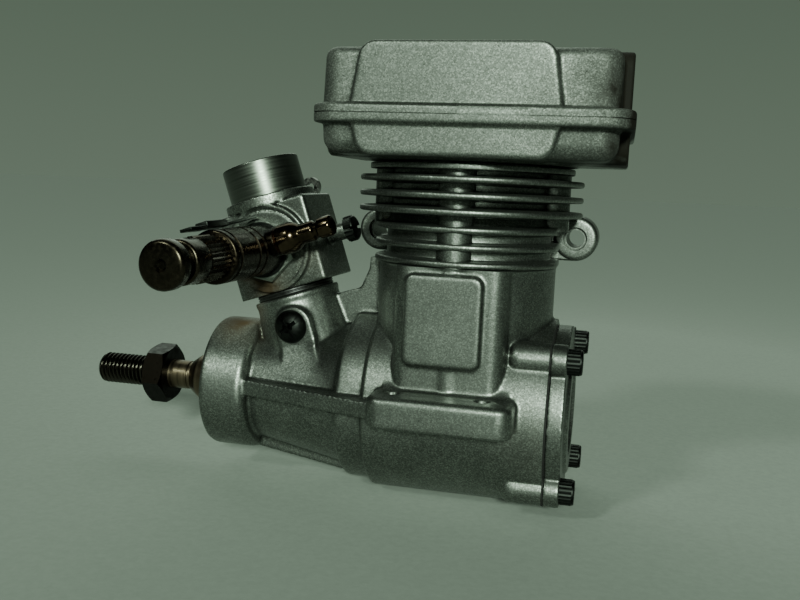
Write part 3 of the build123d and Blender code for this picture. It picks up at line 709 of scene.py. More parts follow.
@dataclass(frozen=True)
class BlastedCasting(Finish):
    """Die-cast aluminium, bead-blasted: a dull grey skin with fine light and dark grains, and painted shade
    in its tight inner corners.

    The grain is drawn at about 0.2 mm, coarser than real bead marks, so that it shows at arm's length.
    """

    gloss_swing: float = 0.04
    grain_mm: float = 0.2
    relief_mm: float = 0.0045
    specular: float = 0.15
    shade: str = "5E615C"
    sparkle: str = "9A9E98"
    sparkle_from: float = 0.7
    # Ragged dark patches with their colour, roughness and metallic: burnt oil on some castings, painted
    # shade on others
    stains_and_shade: tuple[StainAndShade, ...] = ()
    stain_and_shade_colour: str = "4A3B28"
    stain_and_shade_roughness: float = 0.7
    stain_and_shade_metallic: float = 0.15
    # Colour of the painted shade in tight inner corners, and how far around a point the corners are sought
    painted_corner_shade: str = "161613"
    corner_shade_reach_mm: float = 2.0

    # Painted corner shade: open share of a point's surroundings where it starts and where it is darkest, and
    # how dark it gets
    corner_shade_open: Span = (0.8, 0.46)
    corner_shade_most: float = 0.85

    # Dark clouds and pits: feature size in millimetres, noise values where they start and end, darkest grey
    clouds: tuple[float, float, float, float] = (9.0, 0.35, 0.65, 0.82)
    pits: tuple[float, float, float, float] = (0.55, 0.27, 0.32, 0.45)

    def surface(self, tree: NodeTree, coords: NodeSocket) -> dict[str, NodeSocket]:
        """Build grains, soft clouds, a few dark pits, painted shade in the corners, and the oil stains and
        painted shade patches.

        Args:
            tree: The material's tree.
            coords: Object coordinates.

        Returns:
            Sockets for the shader's inputs, and the relief's under Height.
        """
        cells = add_node(tree, "TexVoronoi", {"Vector": coords, "Scale": per_metre(self.grain_mm)})
        grain = add_node(tree, "SeparateColor", {"Color": cells.outputs["Color"]}).outputs["Red"]
        clouds, pits, beads = (
            add_node(tree, "TexNoise", {"Vector": coords, "Scale": per_metre(size),
                                        "Detail": 3.0}).outputs["Fac"]
            for size in (self.clouds[0], self.pits[0], self.grain_mm))
        colour = add_node(tree, "ValToRGB", {"Fac": grain}, [
            (0.0, linear(self.shade)), (self.sparkle_from, linear(self.colour)),
            (1.0, linear(self.sparkle))]).outputs["Color"]
        for value, (_, start, end, darkest) in ((clouds, self.clouds), (pits, self.pits)):
            dark = add_node(tree, "ValToRGB", {"Fac": value}, [(start, grey(darkest)), (end, grey(1.0))])
            colour = add_node(tree, "Mix", {0: 1.0, 6: colour, 7: dark.outputs["Color"]}, data_type="RGBA",
                              blend_type="MULTIPLY").outputs[2]
        # Painted shade: tight inner corners are darkened towards the corner shade colour
        colour = add_node(tree, "Mix", {0: self.painted_corner_shade_mask(tree), 6: colour, 7: linear(self.painted_corner_shade)},
                          data_type="RGBA").outputs[2]
        gloss = add_node(tree, "ValToRGB", {"Fac": grain}, [
            (0.0, grey(self.roughness + self.gloss_swing)),
            (1.0, grey(self.roughness - self.gloss_swing))]).outputs["Color"]
        looks = {"Base Color": colour, "Roughness": gloss, "Height": beads}
        # Oil stains and painted shade patches cover the colour and the gloss
        if self.stains_and_shade:
            masks = [patch.mask(tree, coords, clouds) for patch in self.stains_and_shade]
            stain_and_shade_mask = masks[0]
            for mask in masks[1:]:
                stain_and_shade_mask = add_node(tree, "Math", {0: stain_and_shade_mask, 1: mask}, operation="MAXIMUM").outputs["Value"]
            for name, covering in (("Base Color", linear(self.stain_and_shade_colour)), ("Roughness", grey(self.stain_and_shade_roughness))):
                looks[name] = add_node(tree, "Mix", {0: stain_and_shade_mask, 6: looks[name], 7: covering},
                                       data_type="RGBA").outputs[2]
            looks["Metallic"] = add_node(tree, "MapRange", {
                "Value": stain_and_shade_mask, "To Min": 1.0, "To Max": self.stain_and_shade_metallic}).outputs["Result"]
        return looks

    def painted_corner_shade_mask(self, tree: NodeTree) -> NodeSocket:
        """Make the mask of the tight inner corners, where shade is painted.

        Args:
            tree: The material's tree.

        Returns:
            The mask's socket.
        """
        open_share = add_node(tree, "AmbientOcclusion", {"Distance": self.corner_shade_reach_mm * MM}, samples=4,
                              only_local=True).outputs["AO"]
        start, thickest = self.corner_shade_open
        return add_node(tree, "MapRange", {"Value": open_share, "From Min": start, "From Max": thickest,
                                           "To Max": self.corner_shade_most}).outputs["Result"]


@dataclass(frozen=True)
class TurnedMetal(Finish):
    """Metal turned on a lathe: fine rings across the axis that stretch its highlights around it."""

    axis: Point = (1.0, 0.0, 0.0)
    ring_mm: float = 0.25

    def grain(self, tree: NodeTree, coords: NodeSocket) -> NodeSocket:
        """Make rings along the turning axis, drawn far coarser than the tool's marks so that they show.

        Args:
            tree: The material's tree.
            coords: Object coordinates.

        Returns:
            The value's socket.
        """
        along = add_node(tree, "VectorMath", {0: coords, 1: Vector(self.axis)}, operation="DOT_PRODUCT")
        noise = add_node(tree, "TexNoise", {"W": along.outputs["Value"], "Scale": per_metre(self.ring_mm),
                                            "Detail": 2.0}, noise_dimensions="1D")
        return noise.outputs["Fac"]


# The carburettor leans back from the nose and is turned a little about its stem
CARB_TILT = math.radians(18.8)
CARB_TURN = math.radians(3.0)
CARB_ORIGIN = (-33.44, 0.0, 18.95)
ROTOR_C = 9.7


def carb_frame() -> Matrix:
    """Frame of the carburettor: c runs up its stem, b to the exhaust side, a to the rear.

    Returns:
        The frame.
    """
    tilt, turn = CARB_TILT, CARB_TURN
    a_axis = Vector((math.cos(turn) * math.cos(tilt), -math.sin(turn), math.cos(turn) * math.sin(tilt)))
    c_axis = Vector((-math.sin(tilt), 0.0, math.cos(tilt)))
    axes = Matrix((a_axis, c_axis.cross(a_axis), c_axis)).transposed().to_4x4()
    return Matrix.Translation(CARB_ORIGIN) @ axes


CARB = carb_frame()
STEM_AXIS = tuple(CARB.to_3x3() @ Vector((0, 0, 1)))

# Die-cast aluminium, blasted: dull silver grey with a faint sparkle, oil burnt brown on top of the nose, and
# a faint painted shadow below the lug's right end
HOUSING_CAST = BlastedCasting("blasted_housing", "7C807B", roughness=0.43, stain_and_shade_colour="4E3D27",
                              stains_and_shade=(StainAndShade((-43, -4, 13.5), 9, 1.3), StainAndShade((16, -17, -3), 9, 0.15)))
# The same casting, with its painted corner shade kept to the roots of the fins
BARREL_CAST = replace(HOUSING_CAST, name="blasted_barrel", corner_shade_reach_mm=0.7)
# Die-cast aluminium, blasted a little rougher: a flat pale grey, with painted shade over its corner blocks
# and its right side
HEAD_CAST = BlastedCasting(
    "blasted_head", "7B7F7A", roughness=0.46, stain_and_shade_colour="1A1813",
    stains_and_shade=(StainAndShade((27, -21, 58), 11, 1.1), StainAndShade((22, -22, 53.5), 12, 0.5), StainAndShade((27, -20, 49), 10, 1.1),
            StainAndShade((36, -8, 56), 19, 5.0), StainAndShade((-28, -22, 57), 14, 1.3), StainAndShade((-27, -22, 49), 10, 1.1)))
# Die-cast aluminium, lightly blasted: a tighter, brighter sheen, with dark brown patches about the rotor
CARB_CAST = BlastedCasting(
    "blasted_carburettor", "787C77", shade="5A5D57", roughness=0.4, relief_mm=0.004, stain_and_shade_colour="3A2F22",
    stains_and_shade=(StainAndShade((-36.5, -9, 21.5), 7, 1.6), StainAndShade((-28, -8, 27), 6, 0.5), StainAndShade((-41, -9, 24), 6, 1.4)))
# Die-cast aluminium, blasted and kept clean: plain dull silver grey
COVER_CAST = BlastedCasting("blasted_cover", "7C807B", roughness=0.43)
# Moulded nitrile rubber: deep black with a soft, oily shine
SEAL_RUBBER = Finish("nitrile_rubber", "0C0C0A", metallic=0.0, roughness=0.4, relief_mm=0.01)
# Pressed gasket paper soaked in oil: a flat black line without shine
GASKET_PAPER = Finish("oiled_paper", "0B0A08", metallic=0.0, roughness=0.8, grain_mm=0.3)
# Steel, chemically blackened: near black, with edges that handling has rubbed a little lighter
BLACK_OXIDE = Finish("black_oxide_steel", "191A19", roughness=0.42, grain_mm=0.5, gloss_swing=0.06,
                     relief_mm=0.004, worn_and_highlit="2A2C2A")
# Steel nut, blackened and gone brown with oil: darker than the screws, with broad soft glints
NUT_OXIDE = Finish("brown_oxide_nut", "13100D", roughness=0.4, grain_mm=1.2, colour_swing=0.12,
                   relief_mm=0.004)
# Ground steel: bright, with highlights drawn out round the shaft
GROUND_STEEL = TurnedMetal("ground_steel", "8B8A84", roughness=0.26, gloss_swing=0.05, relief_mm=0.001)
# Turned steel gone brown with heat and oil: a warm bronze grey in soft bands
SLEEVE_STEEL = TurnedMetal("browned_sleeve", "65594A", roughness=0.36, gloss_swing=0.04, relief_mm=0.0003,
                           ring_mm=0.8)
# Rolled steel thread: dark flanks with thin bright crests
THREAD_STEEL = TurnedMetal("rolled_thread_steel", "433F39", roughness=0.24, gloss_swing=0.06,
                           relief_mm=0.001)
# Aluminium turned on the lathe: one bright streak down each side of a dark tube, in fine rings
INTAKE_TURNED = TurnedMetal("turned_intake", "60645E", roughness=0.34, gloss_swing=0.04, relief_mm=0.0015,
                            colour_swing=0.12, ring_mm=0.4, axis=STEM_AXIS)
# Nickel plate browned by fuel: almost black, mottled, with dull gold edges
NICKEL_BROWN = Finish("browned_nickel", "2A261F", roughness=0.26, grain_mm=0.7, colour_swing=0.5,
                      gloss_swing=0.08, relief_mm=0.002, worn_and_highlit="4A4238")
# Nickel-plated brass wet with oil: dark amber with small sharp glints
NIPPLE_NICKEL = Finish("oiled_nickel", "40352A", roughness=0.16, grain_mm=0.9, colour_swing=0.45,
                       gloss_swing=0.05, relief_mm=0.006, worn_and_highlit="6E5C48")
# Nickel plate kept clean: a satin silver
BRIGHT_NICKEL = Finish("bright_nickel", "8C918A", roughness=0.42, grain_mm=0.6, relief_mm=0.004)
# Brass, chemically blackened: brown black, with lighter edges that are partly brass showing through and
# partly a painted highlight on the rim
BLACK_BRASS = Finish("blackened_brass", "18140F", roughness=0.3, grain_mm=0.6, colour_swing=0.35,
                     relief_mm=0.002, worn_and_highlit="3A332A")
# Rolled spring steel, tempered: an even mid grey
SPRING_STRIP = Finish("tempered_spring_steel", "5A5E5B", roughness=0.36, grain_mm=0.5, relief_mm=0.003)
# Bearing steel, polished: mirror bright
BEARING_STEEL = Finish("polished_bearing_steel", "B5B7B8", roughness=0.12, grain_mm=0.8, gloss_swing=0.04,
                       relief_mm=0.001)
# Aluminium alloy as machined: light silver
PISTON_ALLOY = Finish("turned_piston_alloy", "A5A6A3", roughness=0.3, grain_mm=0.5, relief_mm=0.004)
# Brass liner, hard-chromed and honed: a warm, hard shine
LINER_PLATE = Finish("hard_chrome_liner", "A39A83", roughness=0.22, grain_mm=0.7, relief_mm=0.003)
# Sintered bronze: a dull brown gold
BUSH_BRONZE = Finish("bearing_bronze", "8C6A3C", roughness=0.35, grain_mm=0.4)
# Soft copper, annealed: dark reddish brown
WASHER_COPPER = Finish("annealed_copper", "2E1D14", roughness=0.35, grain_mm=0.8)
# Ceramic, glazed: smooth cream with a clear glint
PLUG_CERAMIC = Finish("glazed_ceramic", "C9C2AE", metallic=0.0, roughness=0.3, grain_mm=1.0,
                      colour_swing=0.1)
# Steel, zinc-plated: a cool mid grey with a soft shine
LEVER_STEEL = Finish("zinc_plated_steel", "7C7D79", roughness=0.33, grain_mm=0.8, relief_mm=0.004)


# ------------------------------------------------------------------ engine castings

CYL_X = 1.0
DECK_Z = 45.4
HEAD_SCREW_RING = 15.3
PLUG_SEAT_Z = 53.0
EAR_SPACING = 39.1
EAR_Z = 32.45
NOSE_FACE_X = -48.3
COVER_FACE_X = 18.6
COVER_SCREW = 11.75
COVER_SEAT_X = 21.7
RETAINER_AT = (1.0, 0, -5.9)

SHAFT_LINE = place((0, 0, 0), Axis.X)
CYLINDER = place((CYL_X, 0, 0))
RETAINER_LINE = CARB @ place(RETAINER_AT, Axis.Y)


def head_screw_frames(seat: float = 0.0) -> list[Matrix]:
    """Frames of the four head screws, from a height up the cylinder."""
    return [place((CYL_X + x, y, seat)) for x, y in ring_places(HEAD_SCREW_RING, 4)]


def cover_screw_frames(seat: float = 0.0) -> list[Matrix]:
    """Frames of the four cover screws, from a place along the shaft."""
    sides = (-COVER_SCREW, COVER_SCREW)
    return [place((seat, y, z), Axis.X) for y in sides for z in sides]


@dataclass
class Crankcase:
    """The one-piece crankcase casting, made as a lower housing and a finned barrel."""

    split_z: float = 27.2
    split_spare: float = 2.0
    skin: Skin = Skin(0.32, 3, 0.6)
    trim: float = 1.0
    reach: float = 30.0

    # Front bearing seat, shaft tunnel, journal tunnel, rear bearing seat and crank chamber; the plugs below
    # close the bores while the outside is softened
    shaft_bores: tuple[Bore, ...] = (
        Bore(9.5, NOSE_FACE_X - OVER, -41.6, 96), Bore(5.0, -45, -33), Bore(7.05, -34, -10),
        Bore(12.7, -15.5, -9.5, 96), Bore(15.0, -9.5, COVER_FACE_X + OVER, 96))
    liner_bore: Bore = Bore(11.02, 5, 60, 96)
    stem_bore: Bore = Bore(6.02, -11.6, 2, 72)
    cover_tap: Bore = Bore(1.3, 12, COVER_FACE_X + OVER, 24)
    retainer_tap: Bore = Bore(1.3, 5, 10, 24)
    shaft_plugs: tuple[Bore, ...] = (Bore(9.9, NOSE_FACE_X - 1, -30), Bore(15.2, -16, COVER_FACE_X + 1))
    cylinder_plugs: tuple[Bore, ...] = (Bore(12.8, 0, DECK_Z), Bore(14.2, 4, 35))
    stem_plug: Bore = Bore(6.22, -20, 0)
    lug_plug: Bore = Bore(1.35, 0, 5)
    cover_plug: Bore = Bore(1.4, 10, COVER_FACE_X + 1)
    retainer_plug: Bore = Bore(1.4, 6, 9)

    # Lugs and their tapped holes; a hole's countersink is how much wider, how deep, and how far past the top
    lug_hole: Span = (8.0, 19.5)
    lug_hole_r: float = 1.25
    lug_sink: tuple[float, float, float] = (0.45, 0.35, 0.1)
    lug_top: float = 5.0
    lug_x: Span = (0.9, 12.75)
    lug_y: float = 24.39
    lug_under: float = 0.5
    lug_over: float = 0.05
    lug_corner: float = 2.6
    lug_edges: Span = (0.45, 1.2)

    fin_t: float = 1.3
    fin_draft: Span = (0.12, 0.15)
    fin_rounds: Span = (0.45, 0.25)
    fin_gap: float = 0.2
    upper_fins: tuple[float, ...] = (37.04, 39.8, 42.63)
    upper_fin_r: float = 21.0
    upper_core_r: float = 14.8
    lower_fins: tuple[float, ...] = (27.9, 30.93, 33.95)
    lower_fin_r: float = 17.8
    lower_fin_half: float = 16.8
    lower_fin_clear: float = 1.2
    lower_core_r: float = 15.5
    column_r: float = 3.3
    side_column: float = 15.3
    front_column: float = 14.2
    deck_r: float = 19.2
    deck_t: float = 1.1
    deck_rounds: Span = (0.2, 0.3)
    deck_recess: Bore = Bore(12.6, DECK_Z - 2, DECK_Z + OVER, 96)
    head_screw_tap: Bore = Bore(1.25, 37.2, DECK_Z + OVER, 24)

    ear_r: float = 4.3
    ear_y: Span = (7.0, 18.5)
    ear_rounds: Span = (0.9, 0.4)
    ear_hole_r: float = 1.75
    # Spot face round each ear hole: how much wider it is, its lead and its depth
    ear_spot_face: tuple[float, float, float] = (0.45, 0.3, 0.8)
    flange_start: float = 7.4
    flange_edge: float = 0.3
    duct_half: float = 12.5
    duct_start: float = 2.0
    duct_wall: Span = (1.3, 1.6)
    duct_edge: float = 0.5
    port_half: float = 8.5
    port_start: float = 5.0
    port_z: Span = (28.8, 35.4)
    port_plug_spare: float = 0.1
    port_corner: float = 1.0

    part: Part = Part("engine", "cast_aluminium", ("crankcase",))

    def build(self) -> None:
        """Make the housing and the barrel."""
        self.housing()
        self.barrel()

    def housing(self) -> None:
        """Lower casting: nose, neck, barrel, lugs, boss and casing, with cast fillets and machined bores."""
        piece = Workpiece.from_node("crankcase")
        piece.stretch(COVER_FACE_X, self.trim)
        piece.stretch(NOSE_FACE_X, -self.trim)
        self.fill_bores(piece)
        piece.keep_side((0, 0, self.split_z + self.split_spare), (0, 0, 1))
        piece.soften(self.skin)
        piece.keep_side((0, 0, self.split_z), (0, 0, 1))
        piece.keep_side((COVER_FACE_X, 0, 0), (1, 0, 0))
        piece.keep_side((NOSE_FACE_X, 0, 0), (-1, 0, 0))
        piece.combine(self.lugs(), Combine.JOIN)
        piece.combine_all(self.housing_cutters())
        piece.release("crankcase_housing", self.part, HOUSING_CAST, CAST_SHARP)

    def lugs(self) -> Workpiece:
        """Make the mounting beam, with round corners, an eased top edge and a crisp lower one.

        Returns:
            The beam.
        """
        middle, half_x = self.lug_x
        limits = (-self.lug_under, self.lug_top + self.lug_over)
        piece = rounded_plate((half_x, self.lug_y), limits, self.lug_corner, (middle, 0))
        for z, radius in zip(limits, self.lug_edges):
            ring = [edge for edge in piece.mesh.edges
                    if all(abs(vert.co.z - z) < WELD for vert in edge.verts)]
            round_edges(piece.mesh, ring, radius, LUG_FACETS)
        return piece

    def lug_hole_frames(self) -> list[Matrix]:
        """Frames of the four tapped holes in the lugs."""
        across, apart = self.lug_hole
        return [place((x, y, 0)) for x in (-across, across) for y in (-apart, apart)]

    def fill_bores(self, piece: Workpiece) -> None:
        """Plug every bore, so that only the outside of the casting is softened.

        Args:
            piece: The casting, which is changed.
        """
        piece.plug(self.shaft_plugs, SHAFT_LINE)
        piece.plug(self.cylinder_plugs, CYLINDER)
        piece.plug([self.stem_plug], CARB)
        for at in self.lug_hole_frames():
            piece.plug([self.lug_plug], at)
        for at in cover_screw_frames():
            piece.plug([self.cover_plug], at)
        piece.plug([self.retainer_plug.mirrored(), self.retainer_plug], RETAINER_LINE)
        spare = self.port_plug_spare
        piece.block(about(CYL_X, self.port_half + spare), (self.port_start, self.ear_y[1]),
                    (self.port_z[0] - spare, self.port_z[1] + spare))

    def housing_cutters(self) -> Iterable[Workpiece]:
        """Make every bore, seat and tapped hole of the housing.

        Returns:
            The cutters, one after another.
        """
        for bore in self.shaft_bores:
            yield bore.solid(SHAFT_LINE)
        yield self.liner_bore.solid(CYLINDER)
        yield self.stem_bore.solid(CARB)
        radius, top = self.lug_hole_r, self.lug_top
        wider, deep, past = self.lug_sink
        wide = radius + wider
        for at in self.lug_hole_frames():
            yield turned([(-OVER, 0), (-OVER, radius), (top - deep, radius), (top + past, wide),
                          (top + OVER, wide), (top + OVER, 0)], at, 32)
        for at in cover_screw_frames():
            yield self.cover_tap.solid(at)
        for bore in (self.retainer_tap.mirrored(), self.retainer_tap):
            yield bore.solid(RETAINER_LINE)

    def barrel(self) -> None:
        """Finned barrel with its columns, top deck, exhaust flange and ears."""
        piece = turned(self.fin_profile(), CYLINDER, 144)
        for side in (-1, 1):
            beyond = sorted((CYL_X + side * self.lower_fin_half, CYL_X + side * self.reach))
            piece.combine(block(tuple(beyond), (-self.reach, self.reach),
                                (self.split_z - OVER, self.lower_fins[-1] + self.lower_fin_clear)))
        for side in (-1, 1):
            for x, y, low in ((side * self.side_column, 0.0, self.lower_fins[-1]),
                              (0.0, side * self.front_column, self.split_z + NUDGE)):
                column = rod(self.column_r, (low, DECK_Z - NUDGE), place((CYL_X + x, y, 0)), 48)
                piece.combine(column, Combine.JOIN)
        piece.combine_all(self.flange_shapes(), Combine.JOIN)
        piece.combine_all(self.barrel_cutters())
        piece.release("crankcase_barrel", self.part, BARREL_CAST, CAST_SHARP)

    def fin_profile(self) -> list[tuple[float, ...]]:
        """Draw the turned outline of the core with every fin, from the bottom to the deck.

        Returns:
            The outline.
        """
        half = self.fin_t / 2
        tip, root = self.fin_draft
        tip_round, root_round = self.fin_rounds
        profile: list[tuple[float, ...]] = [(self.split_z, 0), (self.split_z, self.lower_core_r)]
        for fins, tip_r, core_r in ((self.lower_fins, self.lower_fin_r, self.lower_core_r),
                                    (self.upper_fins, self.upper_fin_r, self.upper_core_r)):
            for z in fins:
                if z - half > profile[-1][0] + self.fin_gap:
                    profile.append((z - half - root, core_r, root_round))
                profile += [(z - half + tip, tip_r, tip_round), (z + half - tip, tip_r, tip_round),
                            (z + half + root, core_r, root_round)]
        deck = DECK_Z - self.deck_t
        low_round, high_round = self.deck_rounds
        return profile + [(deck, self.upper_core_r), (deck, self.deck_r, low_round),
                          (DECK_Z, self.deck_r, high_round), (DECK_Z, 0)]

    def flange_shapes(self) -> Iterable[Workpiece]:
        """Make the exhaust duct, the flange plate and the ears, each with its edges eased.

        Returns:
            The shapes, one after another.
        """
        start, face = self.ear_y
        reach = EAR_SPACING / 2
        duct_z = (self.port_z[0] - self.duct_wall[0], self.port_z[1] + self.duct_wall[1])
        yield eased(block(about(CYL_X, self.duct_half), (self.duct_start, face - NUDGE), duct_z),
                    self.duct_edge)
        yield eased(block(about(CYL_X, reach), (self.flange_start, face - 2 * NUDGE),
                          (EAR_Z - self.ear_r + NUDGE, EAR_Z + self.ear_r - NUDGE)), self.flange_edge)
        low_round, high_round = self.ear_rounds
        for side in (-1, 1):
            ear = [(start, 0), (start, self.ear_r, low_round), (face, self.ear_r, high_round), (face, 0)]
            yield turned(ear, place((CYL_X + side * reach, 0, EAR_Z), Axis.Y), 64)

    def barrel_cutters(self) -> Iterable[Workpiece]:
        """Make the cylinder bore, the port, the ear holes and the head screw holes.

        Returns:
            The cutters, one after another.
        """
        yield self.liner_bore._replace(low=0).solid(CYLINDER)
        yield self.deck_recess.solid(CYLINDER)
        yield eased(block(about(CYL_X, self.port_half), (self.port_start, self.reach), self.port_z),
                    self.port_corner)
        low, high = self.ear_y
        wider, lead, depth = self.ear_spot_face
        wide = self.ear_hole_r + wider
        for side in (-1, 1):
            yield turned([(low - OVER, 0), (low - OVER, wide + lead), (low + lead, wide),
                          (low + depth, wide), (low + depth, self.ear_hole_r),
                          (high + OVER, self.ear_hole_r), (high + OVER, 0)],
                         place((CYL_X + side * EAR_SPACING / 2, 0, EAR_Z), Axis.Y), 48)
        for at in head_screw_frames():
            yield self.head_screw_tap.solid(at)


@dataclass
class HeatSinkHead:
    """The heat-sink head: a blasted block with milled slots and a ridge at its parting plane."""

    middle_x: float = 2.65
    skin: Skin = Skin(0.3, 2, 0.5)
    top: float = 70.0
    slot_w: float = 2.5
    slot_pitch: float = 4.0
    slot_half: float = 20.5
    slot_floor: float = 50.4
    slots_each_side: int = 4
    slot_plug: tuple[float, float, float] = (21.0, 0.3, 64.28)
    slot_plug_low: float = 50.0
    well_plug: Bore = Bore(7.4, 45.7, 64)
    screw_plug: Bore = Bore(3.2, 45.7, 62)
    post_round: float = 0.4
    post_root: float = 1.0
    plug_post: Span = (8.6, 60.5)
    screw_post: Span = (4.4, 58.5)
    plug_well: Bore = Bore(6.4, PLUG_SEAT_Z, 70, 72)
    plug_hole: Bore = Bore(3.2, 44, PLUG_SEAT_Z + OVER, 48)
    screw_well: Bore = Bore(3.0, 51, 70, 40)
    screw_hole: Bore = Bore(1.65, 44, 52, 24)
    chamber: Profile = ((44, 0), (44, 7.2), (46.1, 7.2), (48.6, 5.6), (49.6, 3.3), (49.6, 0))

    ridge_half: Span = (27.2, 23.5)
    ridge_x: float = 3.1
    ridge_corners: Span = (5.5, 5.0)
    parting_z: float = 53.07
    parting_line: Span = (0.1, 0.14)
    gate_x: Span = (1.6, 13.7)
    gate_z: Span = (0.1, 3.0)
    gate_depth: float = 0.1
    gate_taper: float = 0.8

    part: Part = Part("engine", "head_aluminium", ("cylinder_head",))

    def build(self) -> None:
        """Make the head."""
        piece = Workpiece.from_node("cylinder_head")
        half_x, spare, high = self.slot_plug
        half_y = self.slot_pitch * self.slots_each_side + self.slot_w / 2
        piece.block(about(self.middle_x, half_x), (-half_y - spare, half_y + spare),
                    (self.slot_plug_low, high))
        piece.plug([self.well_plug], CYLINDER)
        for at in head_screw_frames():
            piece.plug([self.screw_plug], at)
        piece.soften(self.skin)
        piece.combine_all(self.parting_cutters())
        piece.combine_all(self.slot_cutters())
        piece.combine_all(self.posts(), Combine.JOIN)
        piece.combine_all(self.well_cutters())
        piece.release("heat_sink_head", self.part, HEAD_CAST, CAST_SHARP)

    def parting_cutters(self) -> Iterable[Workpiece]:
        """Make the fine line round the ridge, and the mark where the casting's gate was dressed off.

        Returns:
            The cutters, one after another.
        """
        half_x, half_y = self.ridge_half
        outer, inner = self.ridge_corners
        half_w, deep = self.parting_line
        z, middle = self.parting_z, (self.ridge_x, 0)
        line = rounded_plate((half_x + OVER, half_y + OVER), about(z, half_w), outer, middle)
        line.combine(rounded_plate((half_x - deep, half_y - deep), about(z, OVER), inner, middle))
        yield line
        low, high = self.gate_z
        gate = block(self.gate_x, (-half_y - OVER, -half_y + self.gate_depth), (z + low, z + high))
        upper = [vert for vert in gate.mesh.verts if vert.co.z > z + (low + high) / 2]
        bmesh.ops.scale(gate.mesh, vec=Vector((self.gate_taper, 1, 1)), verts=upper,
                        space=Matrix.Translation((-sum(self.gate_x) / 2, 0, 0)))
        yield gate

    def slot_cutters(self) -> Iterable[Workpiece]:
        """Make the milled slots between the upright fins.

        Returns:
            The cutters, one after another.
        """
        for number in range(-self.slots_each_side, self.slots_each_side + 1):
            across = about(number * self.slot_pitch, self.slot_w / 2)
            yield block(about(self.middle_x, self.slot_half), across, (self.slot_floor, self.top))

    def posts(self) -> Iterable[Workpiece]:
        """Make the round posts about the plug well and the screw wells.

        Returns:
            The posts, one after another.
        """
        low = self.slot_floor - self.post_root
        frames = [(CYLINDER, self.plug_post, 72)] + [(at, self.screw_post, 48) for at in head_screw_frames()]
        for at, (radius, high), steps in frames:
            yield turned([(low, 0), (low, radius), (high, radius, self.post_round), (high, 0)], at, steps)

    def well_cutters(self) -> Iterable[Workpiece]:
        """Make the plug well, the plug hole, the chamber and the screw wells.

        Returns:
            The cutters, one after another.
        """
        yield self.plug_well.solid(CYLINDER)
        yield self.plug_hole.solid(CYLINDER)
        yield turned(self.chamber, CYLINDER, 64)
        for at in head_screw_frames():
            yield self.screw_well.solid(at)
            yield self.screw_hole.solid(at)


@dataclass
class RearCover:
    """Rear cover casting, with its screw holes."""

    skin: Skin = Skin(0.26, 3)
    screw_plug: Bore = Bore(1.5, 18.9, COVER_SEAT_X)
    screw_hole: Bore = Bore(1.4, 16.9, COVER_SEAT_X + 2, 24)

    part: Part = Part("engine", "cover_aluminium", ("rear_cover",))

    def build(self) -> None:
        """Make the cover."""
        piece = Workpiece.from_node("rear_cover")
        for at in cover_screw_frames():
            piece.plug([self.screw_plug], at)
        piece.soften(self.skin)
        for at in cover_screw_frames():
            piece.combine(self.screw_hole.solid(at))
        piece.release("rear_cover_casting", self.part, COVER_CAST, CAST_SHARP)


# ------------------------------------------------------------------ fasteners


@dataclass(frozen=True)
class CapScrew:
    """Socket cap screw with a knurled head; its own +Z points out of the head."""

    head_r: float
    head_h: float
    shank_r: float
    shank: float
    key: float
    ridges: int = 24
    ridge_depth: float = 0.12
    ridge_share: float = 0.82
    crown_inset: float = 0.1
    crown_round: float = 0.3
    key_floor: float = 0.4
    shank_into_head: float = 0.2

    def build(self, name: str, part: Part, at: Matrix) -> None:
        """Make one screw.

        Args:
            name: Name of the piece.
            part: What it stands for.
            at: Frame with its origin under the head.
        """
        high, crown_r = self.head_h, self.head_r - self.crown_inset
        piece = knurled(self.head_r, self.ridge_depth, (0, high * self.ridge_share), at, self.ridges)
        crown = turned([(0, 0), (0, crown_r), (high, crown_r, self.crown_round), (high, 0)], at, 48)
        piece.combine(crown, Combine.JOIN)
        piece.combine(rod(self.key / math.sqrt(3), (high * self.key_floor, high + OVER), at, 6))
        piece.combine(rod(self.shank_r, (-self.shank, self.shank_into_head), at, 24), Combine.JOIN)
        piece.release(name, part, BLACK_OXIDE, sharp=30)


def knurled(radius: float, depth: float, span: Span, at: Matrix, ridges: int) -> Workpiece:
    """Cylinder with straight knurling: every second corner is drawn in.

    Args:
        radius: Radius over the ridges.
        depth: Depth of the grooves.
        span: Low and high end along local Z.
        at: Frame of the cylinder.
        ridges: Number of ridges.

    Returns:
        The knurled piece.
    """
    piece = Workpiece()
    low, high = span
    made = bmesh.ops.create_cone(piece.mesh, cap_ends=True, segments=ridges * 2, radius1=radius,
                                 radius2=radius, depth=high - low,
                                 matrix=Matrix.Translation((0, 0, (low + high) / 2)))
    step = math.pi / ridges
    grooves = [v for v in made["verts"] if round(math.atan2(v.co.y, v.co.x) / step) % 2]
    shrink = 1 - depth / radius
    bmesh.ops.scale(piece.mesh, vec=Vector((shrink, shrink, 1)), verts=grooves)
    bmesh.ops.transform(piece.mesh, matrix=at, verts=piece.mesh.verts)
    return piece


